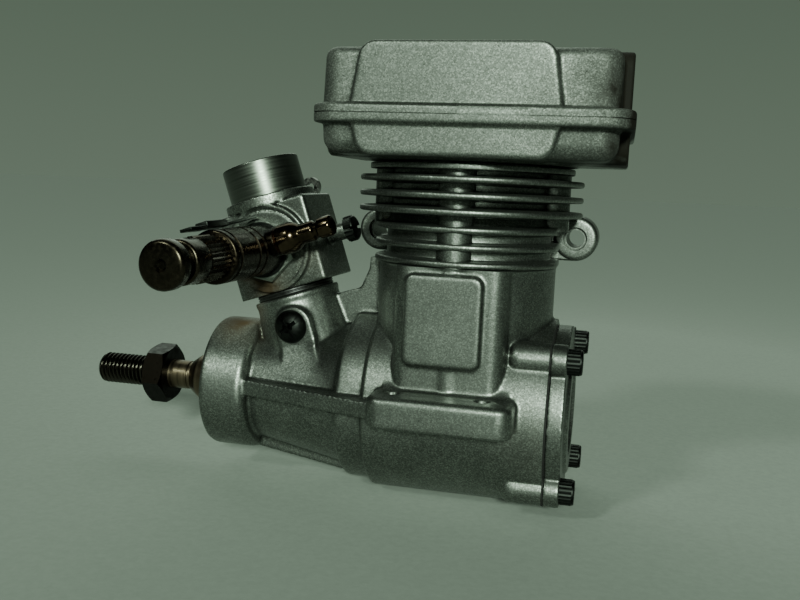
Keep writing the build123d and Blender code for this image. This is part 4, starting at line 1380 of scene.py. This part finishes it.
@dataclass
class Fasteners:
    """Cover screws, head screws and the carburettor's retaining screws."""

    cover_screw: CapScrew = CapScrew(head_r=2.35, head_h=2.6, shank_r=1.28, shank=9.0, key=2.0)
    head_screw: CapScrew = CapScrew(head_r=2.5, head_h=2.8, shank_r=1.23, shank=12.8, key=2.4)
    head_seat_z: float = 51.0
    slot: str = "black_screws"

    # Shank and domed head of a retaining screw, out from the stem's middle, and its cross recess
    retainer: Profile = ((5.15, 0), (5.15, 1.28), (9.0, 1.28), (9.0, 3.2, 0.1), (9.5, 3.2), (10.2, 2.8),
                         (10.75, 1.9), (11.0, 0.8), (11.0, 0))
    cross_turn: float = 0.35
    cross_half: Span = (1.9, 0.38)
    cross_depth: Span = (9.9, 12.0)
    cross_point: Span = (9.5, 11.5)
    cross_point_r: Span = (0.2, 1.4)

    def build(self) -> None:
        """Make every screw."""
        for kind, screw, node, seats in (
                ("cover_screw", self.cover_screw, "rear_cover_screws", cover_screw_frames(COVER_SEAT_X)),
                ("head_screw", self.head_screw, "head_screws", head_screw_frames(self.head_seat_z))):
            for number, at in enumerate(seats, 1):
                screw.build(f"{kind}_{number}", Part("engine", self.slot, (node,)), at)
        half_turn = Matrix.Rotation(math.pi, 4, "Z")
        self.retaining_screw("near", CARB @ Matrix.Translation(RETAINER_AT) @ half_turn @ Axis.Y.turn())
        self.retaining_screw("far", RETAINER_LINE)

    def retaining_screw(self, side: str, at: Matrix) -> None:
        """Make a cross-head screw that holds the carburettor's stem.

        Args:
            side: The side that its name gives.
            at: Frame with its origin in the stem's middle.
        """
        piece = turned(self.retainer, at, 48)
        half, half_w = self.cross_half
        for turn in (self.cross_turn, self.cross_turn + math.pi / 2):
            blade = at @ Matrix.Rotation(turn, 4, "Z")
            piece.combine(block((-half, half), (-half_w, half_w), self.cross_depth, blade))
        point_r, mouth_r = self.cross_point_r
        piece.combine(rod(point_r, self.cross_point, at, 16, tip=mouth_r))
        piece.release(f"retaining_screw_{side}", Part("engine", self.slot, ("carb_retaining_screws",)),
                      BLACK_OXIDE, sharp=30)


# ------------------------------------------------------------------ shaft


@dataclass
class Shaft:
    """Front end of the crankshaft with its thread, nut and collar."""

    tip_x: float = -76.7
    nut_x: Span = (-64.9, -60.4)
    nut_turn: float = math.radians(11)
    nut_flats: float = 10.8
    nut_face_r: float = 5.3
    nut_chamfer: float = 0.6
    thread_r: float = 3.175
    pitch: float = 0.907
    thread_depth: float = 0.45
    steps_per_turn: int = 36
    spare_turns: int = 3

    # Chamfer of the thread's tip, as depth and length, and how far the thread runs into the nut
    thread_lead: Span = (0.75, 0.8)
    thread_into_nut: float = 0.4

    # One groove, as shares of the pitch and of the depth
    thread_form: Sequence[Span] = ((0, 0), (0.14, 0), (0.5, 1), (0.64, 1), (1, 0))

    # Plain sleeve, with a step down just before the collar: where it starts and ends, its drop and its round
    sleeve_r: float = 2.95
    sleeve_step: tuple[float, float, float, float] = (1.0, 0.8, 0.2, 0.05)
    collar: Profile = ((-55.4, 0), (-55.4, 3.3, 0.1), (-53.6, 4.6, 0.4), (-50.4, 5.5, 0.4),
                       (-47.7, 5.7, 0.2), (-47.7, 0))
    collar_bores: tuple[Bore, ...] = (Bore(2.97, -60, -40, 72), Bore(4.02, -53.2, -40, 72))

    # How far a limiting shape stays off the surface that it must not cut
    fit: float = 0.05

    part: Part = Part("crank", "bright_steel", ("crankshaft",))

    def build(self) -> None:
        """Make the shaft, its thread, the nut and the collar."""
        self.crankshaft()
        self.thread()
        self.nut()
        piece = turned(self.collar, SHAFT_LINE)
        piece.combine_all(bore.solid(SHAFT_LINE) for bore in self.collar_bores)
        piece.release("drive_collar", Part("crank", "bright_steel", ("drive_cone",)), SLEEVE_STEEL, sharp=30)

    def crankshaft(self) -> None:
        """The shaft and its web, as the construction has them, and the plain sleeve up to the nut."""
        piece = Workpiece.from_node("crankshaft")
        low, high = self.nut_x[0] + self.thread_into_nut, self.collar[0][0]
        piece.keep_side((high, 0, 0), (-1, 0, 0))
        piece.release("crankshaft_body", self.part, GROUND_STEEL, sharp=40)
        before, after, drop, ease = self.sleeve_step
        sleeve = turned([(low, 0), (low, self.sleeve_r), (high - before, self.sleeve_r, ease),
                         (high - after, self.sleeve_r - drop, ease), (high, self.sleeve_r - drop),
                         (high, 0)], SHAFT_LINE)
        sleeve.release("crankshaft_sleeve", self.part, SLEEVE_STEEL, sharp=30)

    def thread(self) -> None:
        """Helical thread from the nut to the chamfered tip."""
        low, high = self.tip_x, self.nut_x[0] + self.thread_into_nut
        turns = math.ceil((high - low) / self.pitch) + self.spare_turns
        piece = Workpiece()
        verts = [piece.mesh.verts.new((self.thread_r - deep * self.thread_depth, 0, along * self.pitch))
                 for along, deep in self.thread_form]
        edges = [piece.mesh.edges.new(pair) for pair in zip(verts, verts[1:])]
        bmesh.ops.spin(piece.mesh, geom=verts + edges, cent=(0, 0, 0), axis=(0, 0, 1),
                       dvec=(0, 0, self.pitch / self.steps_per_turn), angle=2 * math.pi * turns,
                       steps=turns * self.steps_per_turn)
        bmesh.ops.remove_doubles(piece.mesh, verts=piece.mesh.verts, dist=WELD)
        start = place((low - self.spare_turns / 2 * self.pitch, 0, 0), Axis.X)
        bmesh.ops.transform(piece.mesh, matrix=start, verts=piece.mesh.verts)
        bmesh.ops.recalc_face_normals(piece.mesh, faces=piece.mesh.faces)
        piece.keep_side((low, 0, 0), (-1, 0, 0))
        piece.keep_side((high, 0, 0), (1, 0, 0))
        deep, along = self.thread_lead
        over_crest = self.thread_r + self.fit
        limit = turned([(low, 0), (low, self.thread_r - deep), (low + along, over_crest), (high, over_crest),
                        (high, 0)], SHAFT_LINE, 96)
        piece.combine(limit, Combine.KEEP)
        piece.release("shaft_thread", self.part, THREAD_STEEL, sharp=28)

    def nut(self) -> None:
        """Black hexagon nut with both faces chamfered."""
        low, high = self.nut_x
        corner, slope = self.nut_flats / math.sqrt(3), self.nut_chamfer
        piece = rod(corner, (low, high), SHAFT_LINE @ Matrix.Rotation(self.nut_turn, 4, "Z"), 6)
        lens = turned([(low, 0), (low, self.nut_face_r), (low + slope, corner + self.fit),
                       (high - slope, corner + self.fit), (high, self.nut_face_r), (high, 0)],
                      SHAFT_LINE, 96)
        piece.combine(lens, Combine.KEEP)
        piece.combine(rod(self.collar_bores[0].radius, (low - OVER, high + OVER), SHAFT_LINE))
        piece.release("shaft_nut_hexagon", Part("crank", "black_screws", ("shaft_nut",)), NUT_OXIDE,
                      sharp=25)


# ------------------------------------------------------------------ carburettor

ROTOR_LINE = CARB @ place((0, 0, ROTOR_C), Axis.Y)
STOP_LINE = CARB @ place((0, 0.5, 9.3), Axis.X)
NIPPLE_LINE = CARB @ place((0, -13.8, ROTOR_C + 0.4), Axis.X)


@dataclass
class Carburettor:
    """Carburettor casting, intake, seal, needle, nipple and the stop screw."""

    skin: Skin = Skin(0.24, 2)
    stem_plugs: tuple[Bore, ...] = (Bore(7.0, 16, 26), Bore(4.9, -11.2, 18))
    rotor_plug: Bore = Bore(6.2, -8.4, 8.4)
    stop_plug: Bore = Bore(1.4, 8, 14)

    intake: Profile = ((19.8, 0), (19.8, 7.65), (26.8, 7.65, 0.3), (26.8, 6.7, 0.3), (25.3, 6.7),
                       (19.8, 5.4), (19.8, 0))
    throat: Bore = Bore(4.2, 17.8, 23.8, 48)
    throat_mouth_r: float = 6.0
    seal: Profile = ((0, 0), (0, 7.7, 0.25), (0.5, 7.7, 0.1), (0.55, 7.55), (0.65, 7.55), (0.7, 7.7, 0.1),
                     (1.2, 7.7, 0.25), (1.2, 0))
    seal_bore: Bore = Bore(6.02, -1, 3)

    # Knurls are radius, depth and number of ridges
    stop_knurl: tuple[float, float, int] = (2.55, 0.18, 18)
    stop_knurl_a: Span = (14.0, 15.6)
    stop_head: Profile = ((14.0, 0), (14.0, 2.35), (16.0, 2.35, 0.4), (16.0, 0))
    stop_shank: Bore = Bore(0.98, 5.25, 14.2, 24)
    stop_slot: tuple[Span, Span, Span] = ((-0.3, 0.3), (-3, 3), (15.3, 17))

    # Needle holder along the rotor's line: where each groove lies, its half widths and its depth
    holder_r: float = 4.75
    holder_b: Span = (-29.2, -10.6)
    holder_round: Span = (0.15, 0.5)
    holder_grooves: tuple[float, ...] = (-17.6, -20.3, -27.4)
    groove_half: Span = (0.4, 0.2)
    groove_depth: float = 0.3
    holder_spigot: Profile = ((-1.2, 0), (-1.2, 1.25), (-7.0, 1.25), (-7.0, 4.35), (-10.6, 4.35))
    holder_bore: Bore = Bore(1.5, -30, -9.5, 32)
    nipple_boss: Profile = ((2.0, 0), (2.0, 2.7), (5.7, 2.7, 0.15), (5.7, 0))
    nipple_seat: Bore = Bore(1.92, 1, 7, 40)

    hexagon_r: float = 6.4
    hexagon_b: Span = (-10.2, -8.4)
    hexagon_limit: Profile = ((-10.2, 0), (-10.2, 5.6), (-9.6, 6.5), (-8.4, 6.5), (-8.4, 0))
    hexagon_bore: Bore = Bore(4.4, -12, -5, 48)

    # Ratchet spring, in the carburettor's frame: its ring, the blocks of its clip and its strip
    ring: Bore = Bore(5.3, -10.6, -10.2, 72)
    ring_bore: Bore = Bore(4.4, -12, -9)
    spring_c: float = ROTOR_C + 5.0
    clip: tuple[Span, Span, Span] = ((-1.3, 1.2), (-29.7, -22.4), (0, 1.25))
    clip_end: tuple[Span, Span, Span] = ((-1.2, 1.1), (-35.2, -29.0), (-0.1, 0.45))
    clip_edge: float = 0.25
    strip: tuple[Span, Span, Span] = ((-2.2, 1.4), (-23.2, -10.65), (0.1, 0.65))
    strip_edge: float = 0.15
    strip_rise: float = 1.0
    strip_taper: float = 0.6

    needle: Profile = ((-5.0, 0), (-5.0, 0.5), (-10.4, 0.6), (-11.5, 1.4), (-29.5, 1.4), (-29.5, 3.6, 0.3),
                       (-36.2, 3.6), (-36.2, 3.8, 0.1), (-40.6, 3.8, 0.5), (-40.6, 3.0), (-43.2, 3.0),
                       (-43.2, 4.1, 0.25), (-45.7, 4.1, 0.8), (-45.7, 1.1), (-45.2, 0.6), (-45.2, 0))
    thimble: tuple[float, float, int] = (4.0, 0.35, 30)
    thimble_b: Span = (-36.0, -29.8)
    nipple: Profile = ((3.0, 0), (3.0, 1.88), (6.2, 1.88), (6.2, 2.9, 0.3), (9.0, 2.9, 0.8),
                       (10.4, 1.9, 0.1), (13.0, 1.9, 0.1), (13.4, 1.55), (13.9, 1.55), (14.3, 1.95, 0.1),
                       (16.8, 1.95, 0.5), (16.8, 0))
    nipple_bore: Bore = Bore(0.9, 2, 18, 24)

    body_part: Part = Part("engine", "carburettor_aluminium", ("carburettor_body",))

    def build(self) -> None:
        """Make every piece of the carburettor that shows."""
        self.casting()
        self.intake_tube()
        self.seal_ring()
        self.stop_screw()
        self.holder()
        self.locking_hexagon()
        self.ratchet_clip()
        self.ratchet_strip()
        self.needle_thimble()
        self.fuel_nipple()

    def casting(self) -> None:
        """Die-cast body up to the intake, with its bores closed over the pieces that fill them."""
        piece = Workpiece.from_node("carburettor_body")
        piece.plug(self.stem_plugs, CARB)
        piece.plug([self.rotor_plug], ROTOR_LINE)
        piece.plug([self.stop_plug], STOP_LINE)
        piece.soften(self.skin)
        piece.keep_side(CARB @ Vector((0, 0, self.intake[0][0])), STEM_AXIS)
        piece.release("carburettor_casting", self.body_part, CARB_CAST, CAST_SHARP)

    def intake_tube(self) -> None:
        """Turned intake tube with a thin lip, whose throat narrows downwards."""
        piece = turned(self.intake, CARB, 96)
        narrow_r, low, high, sides = self.throat
        piece.combine(rod(narrow_r, (low, high), CARB, sides, tip=self.throat_mouth_r))
        piece.release("intake_tube", self.body_part, INTAKE_TURNED, sharp=35)

    def seal_ring(self) -> None:
        """Squeezed rubber ring under the body."""
        piece = turned(self.seal, CARB)
        piece.combine(self.seal_bore.solid(CARB))
        piece.release("carburettor_ring", Part("engine", "seal_rubber", ("carburettor_seal",)), SEAL_RUBBER)

    def stop_screw(self) -> None:
        """Rotor stop screw with a knurled, slotted head."""
        radius, depth, ridges = self.stop_knurl
        piece = knurled(radius, depth, self.stop_knurl_a, STOP_LINE, ridges)
        piece.combine(turned(self.stop_head, STOP_LINE, 48), Combine.JOIN)
        piece.combine(self.stop_shank.solid(STOP_LINE), Combine.JOIN)
        piece.combine(block(*self.stop_slot, STOP_LINE))
        part = Part("engine", "tarnished_nickel", ("rotor_stop_screw",))
        piece.release("stop_screw", part, BLACK_OXIDE, sharp=30)

    def holder(self) -> None:
        """Blackened needle holder with its grooves and the boss that the nipple screws into."""
        front, back = self.holder_b
        outer, inner = self.holder_r, self.holder_r - self.groove_depth
        mouth, floor = self.groove_half
        back_round, front_round = self.holder_round
        profile = list(self.holder_spigot) + [(back, outer, back_round)]
        for groove in self.holder_grooves:
            profile += [(groove + mouth, outer), (groove + floor, inner), (groove - floor, inner),
                        (groove - mouth, outer)]
        piece = turned(profile + [(front, outer, front_round), (front, 0)], ROTOR_LINE)
        piece.combine(turned(self.nipple_boss, NIPPLE_LINE, 48), Combine.JOIN)
        piece.combine(self.holder_bore.solid(ROTOR_LINE))
        piece.combine(self.nipple_seat.solid(NIPPLE_LINE))
        piece.release("needle_seat_holder", Part("engine", "black_holder", ("needle_holder",)), BLACK_BRASS)

    def locking_hexagon(self) -> None:
        """Bright hexagon behind the holder."""
        piece = rod(self.hexagon_r, self.hexagon_b, ROTOR_LINE, 6)
        piece.combine(turned(self.hexagon_limit, ROTOR_LINE, 96), Combine.KEEP)
        piece.combine(self.hexagon_bore.solid(ROTOR_LINE))
        part = Part("engine", "tarnished_nickel", ("needle_holder_nut",))
        piece.release("locking_hexagon", part, BRIGHT_NICKEL, sharp=25)

    def spring_block(self, limits: tuple[Span, Span, Span], at: Matrix | None = None) -> Workpiece:
        """Make a block of the ratchet spring.

        Args:
            limits: Its limits, the last pair counted from the spring's height.
            at: Frame of the block.

        Returns:
            The block.
        """
        a, b, (low, high) = limits
        return block(a, b, (self.spring_c + low, self.spring_c + high), at)

    def ratchet_clip(self) -> None:
        """Black ring and clip of the ratchet spring."""
        part = Part("engine", "bright_steel", ("ratchet_spring",))
        piece = self.ring.solid(ROTOR_LINE)
        piece.combine(self.ring_bore.solid(ROTOR_LINE))
        clip = eased(self.spring_block(self.clip, CARB), self.clip_edge)
        clip.combine(eased(self.spring_block(self.clip_end, CARB), self.strip_edge), Combine.JOIN)
        piece.combine(clip, Combine.JOIN)
        piece.release("ratchet_clip", part, BLACK_OXIDE, sharp=30)

    def ratchet_strip(self) -> None:
        """Bright strip of the ratchet spring, which rises to the body and narrows to the clip."""
        piece = self.spring_block(self.strip)
        middle = sum(self.strip[1]) / 2
        rear = [vert for vert in piece.mesh.verts if vert.co.y > middle]
        front = [vert for vert in piece.mesh.verts if vert.co.y < middle]
        bmesh.ops.translate(piece.mesh, vec=Vector((0, 0, self.strip_rise)), verts=rear)
        bmesh.ops.scale(piece.mesh, vec=Vector((self.strip_taper, 1, 1)), verts=front)
        bmesh.ops.transform(piece.mesh, matrix=CARB, verts=piece.mesh.verts)
        part = Part("engine", "bright_steel", ("ratchet_spring",))
        eased(piece, self.strip_edge).release("ratchet_strip", part, SPRING_STRIP, sharp=30)

    def needle_thimble(self) -> None:
        """High-speed needle: knurled thimble, waist, and end disc with a centre dimple."""
        piece = turned(self.needle, ROTOR_LINE)
        radius, depth, ridges = self.thimble
        piece.combine(knurled(radius, depth, self.thimble_b, ROTOR_LINE, ridges), Combine.JOIN)
        part = Part("needle_group", "tarnished_nickel", ("needle_valve",))
        piece.release("needle_thimble", part, NICKEL_BROWN, sharp=24)

    def fuel_nipple(self) -> None:
        """Fuel nipple with its shoulder and the swelled end that holds the tube."""
        piece = turned(self.nipple, NIPPLE_LINE, 56)
        piece.combine(self.nipple_bore.solid(NIPPLE_LINE))
        part = Part("engine", "tarnished_nickel", ("fuel_nipple",))
        piece.release("fuel_nipple_body", part, NIPPLE_NICKEL)


# ------------------------------------------------------------------ glow plug


@dataclass
class GlowPlug:
    """Glow plug in its well: hexagon, threaded end, neck and centre pin."""

    # Hexagon, with its heights counted from the plug's seat, and the turned limit that rounds its corners
    hexagon_r: float = 4.62
    hexagon_z: Span = (0.6, 4.2)
    limit_r: tuple[float, float, float] = (4.4, 4.65, 4.1)
    limit_chamfer: float = 0.5
    thread: Profile = ((49.8, 0), (49.8, 2.9), (50.2, 3.175), (53.7, 3.175), (53.7, 0))
    neck: Profile = ((57.0, 0), (57.0, 2.9), (59.0, 2.9, 0.5), (59.0, 0))
    bore: Bore = Bore(1.7, 50.2, 70, 32)
    pin: Profile = ((50.5, 0), (50.5, 0.8), (59.4, 0.8), (59.4, 1.3), (61.5, 1.6, 0.2), (62.3, 1.2),
                    (62.5, 0))

    def build(self) -> None:
        """Make the plug's body and its pin."""
        low, high = (PLUG_SEAT_Z + z for z in self.hexagon_z)
        foot, waist, crown = self.limit_r
        slope = self.limit_chamfer
        piece = rod(self.hexagon_r, (low, high), CYLINDER, 6)
        limit = turned([(low, 0), (low, foot), (low + slope, waist), (high - slope, waist), (high, crown),
                        (high, 0)], CYLINDER)
        piece.combine(limit, Combine.KEEP)
        for profile in (self.thread, self.neck):
            piece.combine(turned(profile, CYLINDER, 48), Combine.JOIN)
        piece.combine(self.bore.solid(CYLINDER))
        piece.release("plug_hexagon", Part("engine", "bright_steel", ("glow_plug_body",)), BRIGHT_NICKEL,
                      sharp=28)
        turned(self.pin, CYLINDER, 32).release(
            "plug_pin", Part("engine", "bright_steel", ("glow_plug_pin",)), BRIGHT_NICKEL, sharp=40)


# ------------------------------------------------------------------ pieces as constructed


def dress_construction() -> None:
    """Give every construction node that stays its own finish."""
    finishes = {
        GASKET_PAPER: ("rear_cover_gasket",),
        LINER_PLATE: ("cylinder_liner",),
        PISTON_ALLOY: ("piston", "connecting_rod", "head_gasket"),
        BEARING_STEEL: tuple(f"{end}_bearing_{piece}" for end in ("front", "rear")
                             for piece in ("outer_race", "inner_race", "balls", "cage")),
        GROUND_STEEL: ("crankpin", "wrist_pin", "wrist_pin_clips"),
        BUSH_BRONZE: ("small_end_bush", "big_end_bush"),
        WASHER_COPPER: ("glow_plug_washer", "fuel_nipple_washer"),
        PLUG_CERAMIC: ("glow_plug_insulator",),
        LEVER_STEEL: ("throttle_rotor", "throttle_lever", "idle_needle"),
        BLACK_OXIDE: ("throttle_lever_nut",),
    }
    for finish, nodes in finishes.items():
        for node in nodes:
            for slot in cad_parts[node].material_slots:
                slot.material = finish.material()
        logger.info("%s on %s", finish.name, ", ".join(nodes))


# ------------------------------------------------------------------ studio


@dataclass(frozen=True)
class StudioFloor(Finish):
    """Matt painted board with a painted pool of light about the engine: its colour darkens with distance."""

    far_colour: str = "7C827C"
    painted_light_pool: Span = (120.0, 130.0)

    def surface(self, tree: NodeTree, coords: NodeSocket) -> dict[str, NodeSocket]:
        """Build the board's colour, darkening with distance outside the painted pool of light.

        Args:
            tree: The material's tree.
            coords: Object coordinates.

        Returns:
            Sockets for the shader's inputs, and the relief's under Height.
        """
        looks = super().surface(tree, coords)
        # Painted pool of light: centred behind the engine, with the colour fading beyond its reach
        behind, reach = (size * MM for size in self.painted_light_pool)
        away = add_node(tree, "VectorMath", {0: coords, 1: Vector((0, behind, 0))}, operation="DISTANCE")
        near = add_node(tree, "Math", {0: reach, 1: away.outputs["Value"]}, operation="DIVIDE",
                        use_clamp=True).outputs["Value"]
        looks["Base Color"] = add_node(tree, "Mix", {0: near, 6: linear(self.far_colour),
                                                     7: looks["Base Color"]}, data_type="RGBA").outputs[2]
        return looks


class Lamp(NamedTuple):
    """A soft, even light: where it comes from, its watts on a square metre and its width in degrees."""

    name: str
    source: Point
    power: float
    spread: float


@dataclass
class Studio:
    """Floor, soft light and camera."""

    # Painted board, quite matt: an even grey green, darkened away from the engine as a painted pool of light
    floor_finish: StudioFloor = StudioFloor(
        "painted_floor", "9AA19A", metallic=0.0, roughness=1.0, grain_mm=1.2, colour_swing=0.05,
        gloss_swing=0.0, relief_mm=0.02, specular=0.0)
    floor_half: float = 60.0
    lamps: tuple[Lamp, ...] = (Lamp("key_light", (105, -400, 140), 4.4, 8),
                               Lamp("rear_light", (-140, 330, 330), 0.9, 60),
                               Lamp("spark_light", (-174, -290, 214), 0.8, 8))
    light_colour: str = "E8FFEA"

    # The backdrop's colours, and where it starts and ends as shares of a direction's Y and Z
    backdrop: str = "657565"
    backdrop_top: str = "596859"
    backdrop_top_z: float = 0.2
    backdrop_y: Span = (0.5, 0.75)
    backdrop_z: Span = (0.5, 0.25)
    surround: str = "0E110E"

    camera_at: Point = (29.51, -169.548, 40.399)
    camera_forward: Point = (-0.236017, 0.964121, -0.121519)
    camera_roll: float = 2.4755
    focal_mm: float = 40.39
    sensor_mm: float = 36.0
    nearest: float = 0.01

    def build(self) -> None:
        """Set up the studio around the engine."""
        self.floor()
        for lamp in self.lamps:
            self.light(lamp)
        self.world()
        self.camera()

    def floor(self) -> None:
        """Pale floor at the engine's lowest point."""
        low = cad_bounds[0][2]
        mesh = bmesh.new()
        bmesh.ops.create_grid(mesh, x_segments=1, y_segments=1, size=self.floor_half,
                              matrix=Matrix.Translation((0, 0, low)))
        data = bpy.data.meshes.new("floor")
        mesh.to_mesh(data)
        mesh.free()
        data.materials.append(self.floor_finish.material())
        floor = bpy.data.objects.new("floor", data)
        bpy.context.scene.collection.objects.link(floor)

    def light(self, lamp: Lamp) -> None:
        """Add one light.

        Args:
            lamp: The light.
        """
        data = bpy.data.lights.new(lamp.name, "SUN")
        data.energy = lamp.power
        data.angle = math.radians(lamp.spread)
        data.color = linear(self.light_colour)[:3]
        sun = bpy.data.objects.new(lamp.name, data)
        sun.rotation_euler = (-Vector(lamp.source)).to_track_quat("-Z", "Y").to_euler()
        bpy.context.scene.collection.objects.link(sun)

    def world(self) -> None:
        """Dim surroundings, with a backdrop behind the engine as bright as the floor."""
        world = bpy.data.worlds.new("studio")
        bpy.context.scene.world = world
        world.use_nodes = True
        tree = world.node_tree
        tree.nodes.clear()
        direction = add_node(tree, "TexCoord").outputs["Generated"]
        parts = add_node(tree, "SeparateXYZ", {"Vector": direction}).outputs
        behind, low = (
            add_node(tree, "MapRange", {"Value": parts[axis], "From Min": start,
                                        "From Max": end}).outputs["Result"]
            for axis, (start, end) in (("Y", self.backdrop_y), ("Z", self.backdrop_z)))
        share = add_node(tree, "Math", {0: behind, 1: low}, operation="MULTIPLY").outputs["Value"]
        rise = add_node(tree, "ValToRGB", {"Fac": parts["Z"]}, [
            (0.0, linear(self.backdrop)), (self.backdrop_top_z, linear(self.backdrop_top))]).outputs["Color"]
        colour = add_node(tree, "Mix", {0: share, 6: linear(self.surround), 7: rise},
                          data_type="RGBA").outputs[2]
        background = add_node(tree, "Background", {"Color": colour, "Strength": 1.0})
        add_node(tree, "OutputWorld", {"Surface": background.outputs["Background"]})

    def camera(self) -> None:
        """Camera at the engine's left front, a little above it."""
        data = bpy.data.cameras.new("camera")
        data.sensor_width = self.sensor_mm
        data.lens = self.focal_mm
        data.clip_start = self.nearest
        camera = bpy.data.objects.new("camera", data)
        aim = Vector(self.camera_forward).to_track_quat("-Z", "Y").to_matrix().to_4x4()
        roll = Matrix.Rotation(math.radians(self.camera_roll), 4, "Z")
        camera.matrix_world = Matrix.Translation(Vector(self.camera_at) * MM) @ aim @ roll
        bpy.context.scene.collection.objects.link(camera)
        bpy.context.scene.camera = camera


def main() -> None:
    """Build the engine in order."""
    logging.basicConfig(level=logging.INFO, format="%(name)s: %(message)s")
    for assembly in (Crankcase, HeatSinkHead, RearCover, Fasteners, Shaft, Carburettor, GlowPlug):
        logger.info("building %s", assembly.__name__)
        assembly().build()
    dress_construction()
    Studio().build()
    bpy.context.view_layer.update()


if __name__ == "__main__":
    main()
